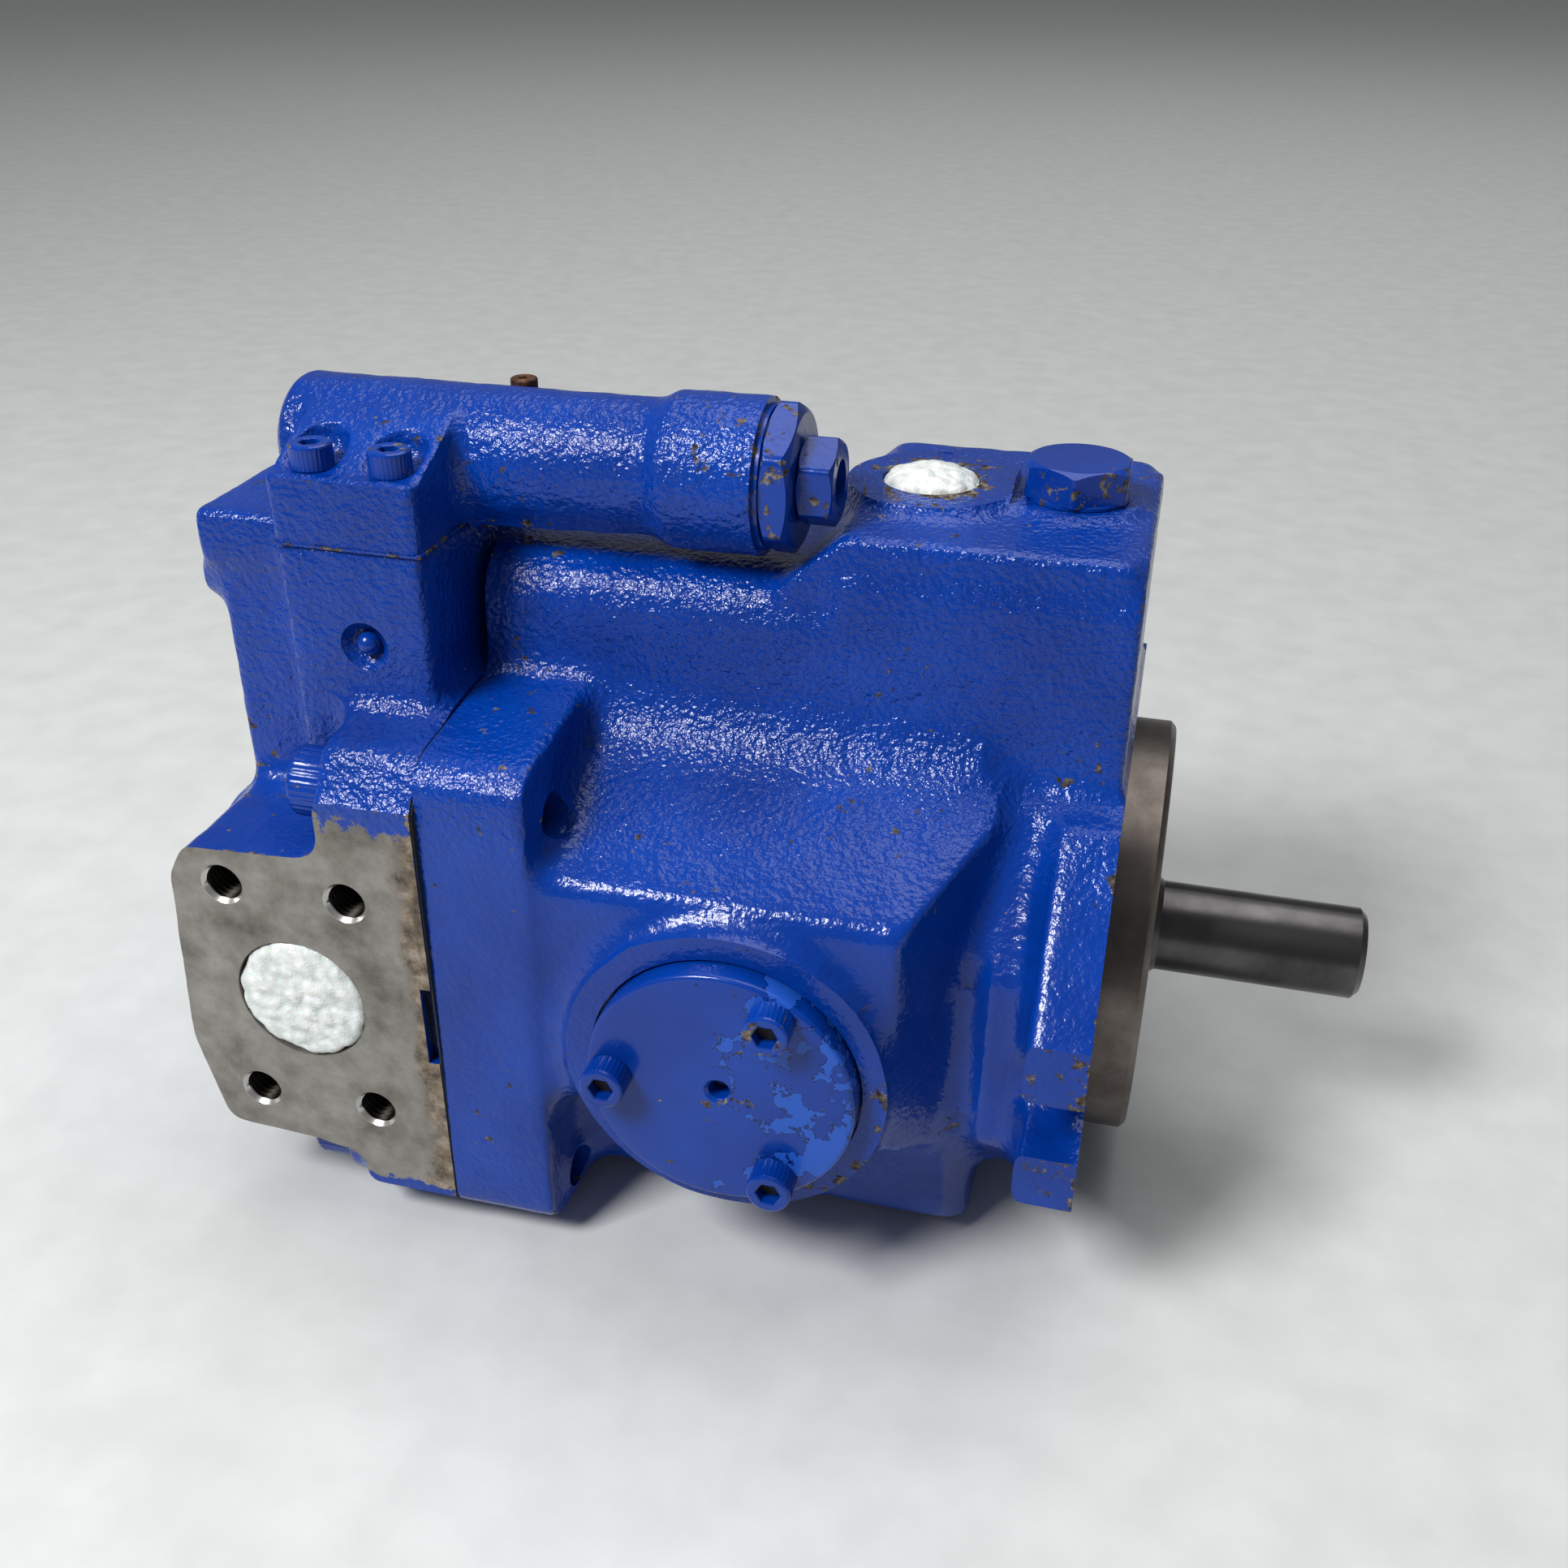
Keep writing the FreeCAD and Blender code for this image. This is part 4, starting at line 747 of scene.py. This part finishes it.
def lifting_enamel():
    """The smooth enamel where it lifts off a cover: islands with thin dark rims and a duller skin,
    whose paler colour is a painted sheen, over the half towards the shaft."""
    made = smooth_enamel.copy()
    made.name = "royal_blue_enamel_lifting_off_steel"
    tree = made.node_tree
    shader = next(n for n in tree.nodes if n.type == "BSDF_PRINCIPLED")
    film = shader.inputs["Base Color"].links[0].from_socket
    gloss = shader.inputs["Roughness"].links[0].from_socket
    where = add(tree, "TexCoord").outputs["Object"]
    along = add(tree, "SeparateXYZ", Vector=where).outputs["X"]
    half = add(tree, "MapRange", Value=along, From_Min=pintle_x - 8 * MM, From_Max=pintle_x + 12 * MM,
               To_Min=-0.2, To_Max=0.03).outputs[0]
    islands = add(tree, "TexNoise", Vector=where, Scale=1 / (9 * MM), Detail=5.0, Roughness=0.6).outputs["Fac"]
    islands = add(tree, "Math", {"operation": "ADD"}, _0=islands, _1=half).outputs[0]
    lifted = add(tree, "MapRange", Value=islands, From_Min=0.52, From_Max=0.525).outputs[0]
    lifted_skin_and_sheen = add(tree, "MapRange", Value=islands, From_Min=0.532, From_Max=0.537).outputs[0]
    rim = add(tree, "Math", {"operation": "SUBTRACT"}, _0=lifted, _1=lifted_skin_and_sheen).outputs[0]
    # Painted sheen: the lifted islands are drawn paler blue; their rims and rougher skin are real lifting.
    colour = add(tree, "Mix", {"data_type": "RGBA"}, _0=lifted_skin_and_sheen, _6=film, _7=linear("#1B51B4")).outputs[2]
    colour = add(tree, "Mix", {"data_type": "RGBA"}, _0=rim, _6=colour, _7=linear("#03113C")).outputs[2]
    rough = add(tree, "Math", {"operation": "MULTIPLY_ADD"}, _0=lifted_skin_and_sheen, _1=0.22, _2=gloss).outputs[0]
    tree.links.new(colour, shader.inputs["Base Color"])
    tree.links.new(rough, shader.inputs["Roughness"])
    return made


cover_enamel = lifting_enamel()
for side, name in ((-1, "trunnion_cover_front"), (1, "trunnion_cover_back")):
    turned_piece(name + "_disc", [trunnion_cover(side)], "case", cover_enamel, [name])

# --- Valve cap, lock nut and adjusting screw ---------------------------------------------------
# A hexagon cap screws into the collar and guides the adjusting screw, which loads the valve's
# spring. A lock nut holds the screw's setting. All three were painted in place.

def hexagon_ring(direction, foot, start, end, flats, bore, cut_start, cut_end):
    """A hexagon nut or cap by rings. Its corner radius is flats / 2 over the cosine of the turn
    within a side, softened where it would be sharp, and each end is cut back by a 30 degree cone,
    so the faces meet it in arcs."""
    columns = 144
    turn = np.linspace(0, 2 * np.pi, columns, endpoint=False)
    sides = flats / 2 / np.cos((turn + np.pi / 6) % (np.pi / 3) - np.pi / 6)
    sides = np.minimum(sides, flats / 2 * 1.135)
    plain = np.ones(columns)
    crown = flats / 2 * 0.97
    fall = np.maximum(sides - crown, 0) * math.tan(math.radians(30))
    along = [start * plain, start * plain, start + cut_start * fall, end - cut_end * fall,
             end * plain, end * plain, start * plain]
    radius = [bore * plain, crown * plain, sides, sides, crown * plain, bore * plain, bore * plain]
    if bore == 0:
        along, radius = along[:-1], radius[:-1]
    return rings(np.array(along), np.array(radius), direction, foot)


cap_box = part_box("valve_cap")
nut_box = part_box("lock_nut")
ADJUSTER_BORE_R = 5.05 * MM
NECK_X = -89 * MM
washer_x = valve_front_x + 1.2 * MM
cap_neck = lathe([(NECK_X, ADJUSTER_BORE_R), (NECK_X, 9.9 * MM), (valve_front_x, 9.9 * MM),
                  (valve_front_x, ADJUSTER_BORE_R), (NECK_X, ADJUSTER_BORE_R)], X, VALVE_LINE)
cap_washer = lathe([(valve_front_x, 9 * MM), (valve_front_x, 15.4 * MM), (washer_x, 15.4 * MM),
                    (washer_x, 9 * MM), (valve_front_x, 9 * MM)], X, VALVE_LINE)
cap_hexagon = hexagon_ring(X, VALVE_LINE, valve_front_x + 1.0 * MM, cap_box[1].x, 29 * MM,
                           ADJUSTER_BORE_R, 1, 1)
turned_piece("valve_hexagon_cap", [cap_neck, cap_washer, cap_hexagon], "case",
             smooth_enamel, ["valve_cap"], sharp=22)
nut_body = hexagon_ring(X, VALVE_LINE, nut_box[0].x, nut_box[1].x, 17 * MM, ADJUSTER_BORE_R, 1, 1)
turned_piece("adjuster_lock_nut", [nut_body], "lock_nut", smooth_enamel,
             ["lock_nut"], sharp=22)
adjuster_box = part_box("adjusting_screw")
adjuster_length = adjuster_box[1].x - adjuster_box[0].x
adjuster = socket_screw((adjuster_box[0].x, VALVE_LINE[1], VALVE_LINE[2]), X, 0.5 * MM, 0.01 * MM, 5 * MM,
                        adjuster_length, 5 * MM)
turned_piece("pressure_adjusting_screw", [adjuster], "adjusting_screw", smooth_enamel,
             ["adjusting_screw"])

# --- Plugs on top ------------------------------------------------------------------------------
# A hexagon-head plug with a flanged underside closes the smaller boss. A tiny socket plug in the
# valve's barrel is bare and rusty, and a steel ball is pressed into the pedestal's drilling.

plug_head = hexagon_ring(Z, (plug_x, 0, 0), PLUG_BOSS_Z + 1.0 * MM, plug_box[1].z, 22 * MM, 0, 0, 1)
collar_mm = [(-14, 0), (-14, 8.15), (0, 8.15), (0, 11.4), (0.3, 11.6), (0.9, 11.6), (1.1, 11.2), (1.1, 0)]
plug_collar = lathe(np.array(collar_mm) * MM, Z, (plug_x, 0, PLUG_BOSS_Z))
turned_piece("filler_hexagon_plug", [plug_head, plug_collar], "case", smooth_enamel,
             ["hex_plug"], sharp=22)


def rust(name):
    """Small bare steel parts gone brown: orange-brown oxide over dark metal, dry and rough."""
    made, tree = empty_material(name)
    where = add(tree, "TexCoord").outputs["Object"]
    spots = add(tree, "TexNoise", Vector=where, Scale=1 / (1.6 * MM), Detail=4.0).outputs["Fac"]
    colour = ramp(tree, spots, [(0.35, "#2B1A12"), (0.55, "#5A3A26"), (0.75, "#8A5A3A")])
    relief = add(tree, "Bump", Height=spots, Strength=0.6, Distance=0.1 * MM).outputs["Normal"]
    shader = add(tree, "BsdfPrincipled", Base_Color=colour, Metallic=0.4, Roughness=0.7, Normal=relief)
    add(tree, "OutputMaterial", Surface=shader.outputs["BSDF"])
    return made


orifice_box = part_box("orifice_plug")
orifice_middle = (orifice_box[0] + orifice_box[1]) / 2
orifice_foot = (orifice_middle.x, orifice_middle.y, orifice_box[0].z)
orifice_height = orifice_box[1].z - orifice_box[0].z
orifice = socket_screw(orifice_foot, Z, 0.5 * MM, 0.01 * MM, 3 * MM, orifice_height, 2.5 * MM)
turned_piece("orifice_socket_plug", [orifice], "case", rust("rusted_bare_steel"),
             ["orifice_plug"])
ball_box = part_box("passage_ball")
ball_centre = [(ball_box[0][i] + ball_box[1][i]) / 2 for i in range(3)]
arc = np.linspace(0, np.pi, 24)
ball_r = (ball_box[1].x - ball_box[0].x) / 2
ball = lathe(np.stack([-ball_r * np.cos(arc), ball_r * np.sin(arc)], 1), Y, ball_centre, 36)
turned_piece("pressed_passage_ball", [ball], "case", smooth_enamel, ["passage_ball"])

# --- Foam plugs --------------------------------------------------------------------------------
# White expanded-bead foam corks keep dirt out of the suction and drain ports in transit. Their
# beads show as close-packed domes, a few millimetres across, that sparkle at their skins.

def bead_foam():
    """Expanded polystyrene: white fused beads, greyer where they meet, with a fine sparkle, soft inside."""
    made, tree = empty_material("expanded_bead_foam")
    where = add(tree, "TexCoord").outputs["Object"]
    beads = add(tree, "TexVoronoi", {"feature": "SMOOTH_F1"}, Vector=where,
                Scale=1 / (2.2 * MM)).outputs["Distance"]
    domes = add(tree, "MapRange", Value=beads, From_Min=0.0, From_Max=0.7, To_Min=1.0, To_Max=0.0).outputs[0]
    sparkle = add(tree, "TexNoise", Vector=where, Scale=1 / (0.6 * MM), Detail=2.0).outputs["Fac"]
    colour = ramp(tree, domes, [(0.0, "#C6CCCA"), (0.5, "#DFE3E1"), (1.0, "#EDEFEE")])
    height = add(tree, "Math", {"operation": "MULTIPLY_ADD"}, _0=sparkle, _1=0.8, _2=domes).outputs[0]
    relief = add(tree, "Bump", Height=height, Strength=0.7, Distance=0.4 * MM).outputs["Normal"]
    shader = add(tree, "BsdfPrincipled", Base_Color=colour, Roughness=0.28, Normal=relief, Subsurface_Weight=0.35,
                 Subsurface_Scale=0.003)
    add(tree, "OutputMaterial", Surface=shader.outputs["BSDF"])
    return made


foam = bead_foam()
BEAD = 3.0 * MM


def foam_cork(name, direction, foot, length, radius, dome, seed, body, node):
    """A cork by rings, from its buried end to its crowned outer face. Each point sinks by how far it
    lies from the nearest of many seeded bead centres, which leaves domes; the outer face swells by
    dome times one minus the square of its share of the radius."""
    share = np.concatenate([np.linspace(0, 1, 14), np.ones(26), np.linspace(1, 0, 30)])
    depth = np.concatenate([np.zeros(14), np.linspace(0, 1, 26), np.ones(30)])
    rim = np.clip((share - 0.90) / 0.10, 0, 1) ** 2 * (depth >= 1) * 0.9 * MM
    along = depth * (length - dome) + (depth >= 1) * (dome * (1 - share ** 2) - rim)
    columns = 120
    plain = np.ones(columns)
    points, quads = rings(along[:, None] * plain, (share * radius)[:, None] * plain, direction, foot)
    dice = np.random.default_rng(seed)
    low, high = points.min(0), points.max(0)
    count = int(np.prod(high - low) / BEAD ** 3 * 1.3)
    centres = dice.uniform(low, high, (count, 3))
    nearest = np.full(len(points), 1.0)
    for centre in centres:
        nearest = np.minimum(nearest, ((points - centre) ** 2).sum(1))
    sink = np.minimum(np.sqrt(nearest) / BEAD, 1.0) ** 2 * 0.8 * MM
    middle = np.asarray(foot) + np.asarray(direction) * length * 0.5
    inward = middle - points
    inward /= np.linalg.norm(inward, axis=1)[:, None] + 1e-9
    poles = np.repeat(share == 0, columns)
    sink[poles] = sink[poles].mean()
    cork = mesh_object(name, points + inward * sink[:, None], quads)
    cork.data.shade_smooth()
    rides(cork, body, [node], foam)


foam_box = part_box("suction_foam")
foam_cork("suction_port_cork", (0, -1, 0), (port_x, foam_box[1].y, 0), foam_box[1].y - foam_box[0].y,
          15.9 * MM, 1.2 * MM, 11, "suction_foam", "suction_foam")
foam_cork("drain_port_cork", Z, (drain_x, 0, drain_box[0].z), drain_box[1].z - drain_box[0].z,
          10.9 * MM, 3.2 * MM, 5, "drain_foam", "drain_foam")

# --- Shaft and inner pieces --------------------------------------------------------------------
# The drive shaft is ground steel, blackened by handling. Everything inside runs in clean oil:
# lapped steel, ground bearing steel, bronze shoes and plates, and oil-tempered springs.

INNER_FINISHES = {
    "shaft_steel": turned_steel("ground_shaft_steel", "#5D5B5C", "#3A3838", 0.27, 0.35),
    "bearing_steel": turned_steel("bearing_steel", "#C8C9CB", "#9FA0A2", 0.18, 0.6),
    "machined_steel": turned_steel("machined_steel", "#B0B0B0", "#7F7D7A", 0.32, 0.6),
    "hardened_steel": turned_steel("lapped_hardened_steel", "#A9A8A6", "#77736E", 0.20, 0.6),
    "spring_steel": turned_steel("oil_tempered_spring_steel", "#5C5B5A", "#33302D", 0.35, 0.8),
    "bronze": turned_steel("bearing_bronze", "#C79A55", "#8D6430", 0.28, 0.6),
}


def dull_solid(name, light, dark, rough, grain):
    """A non-metal such as gasket fibre or nitrile rubber: mottled over grain, rough."""
    made, tree = empty_material(name)
    where = add(tree, "TexCoord").outputs["Object"]
    mottle = add(tree, "TexNoise", Vector=where, Scale=1 / grain, Detail=4.0).outputs["Fac"]
    relief = add(tree, "Bump", Height=mottle, Strength=0.3, Distance=0.03 * MM).outputs["Normal"]
    colour = ramp(tree, mottle, [(0.3, dark), (0.7, light)])
    shader = add(tree, "BsdfPrincipled", Base_Color=colour, Roughness=rough, Normal=relief)
    add(tree, "OutputMaterial", Surface=shader.outputs["BSDF"])
    return made


INNER_FINISHES["gasket_paper"] = dull_solid("gasket_fibre", "#22242A", "#0C0D10", 0.8, 0.6 * MM)
INNER_FINISHES["seal_rubber"] = dull_solid("nitrile_rubber", "#1C1C1D", "#0E0E0F", 0.5, 0.8 * MM)
for entry in frame["record"]["subparts"]:
    finish = INNER_FINISHES.get(entry["material_slot"])
    if finish is not None:
        node = frame["nodes"][entry["node"]]
        for holder in node.material_slots:
            holder.material = finish
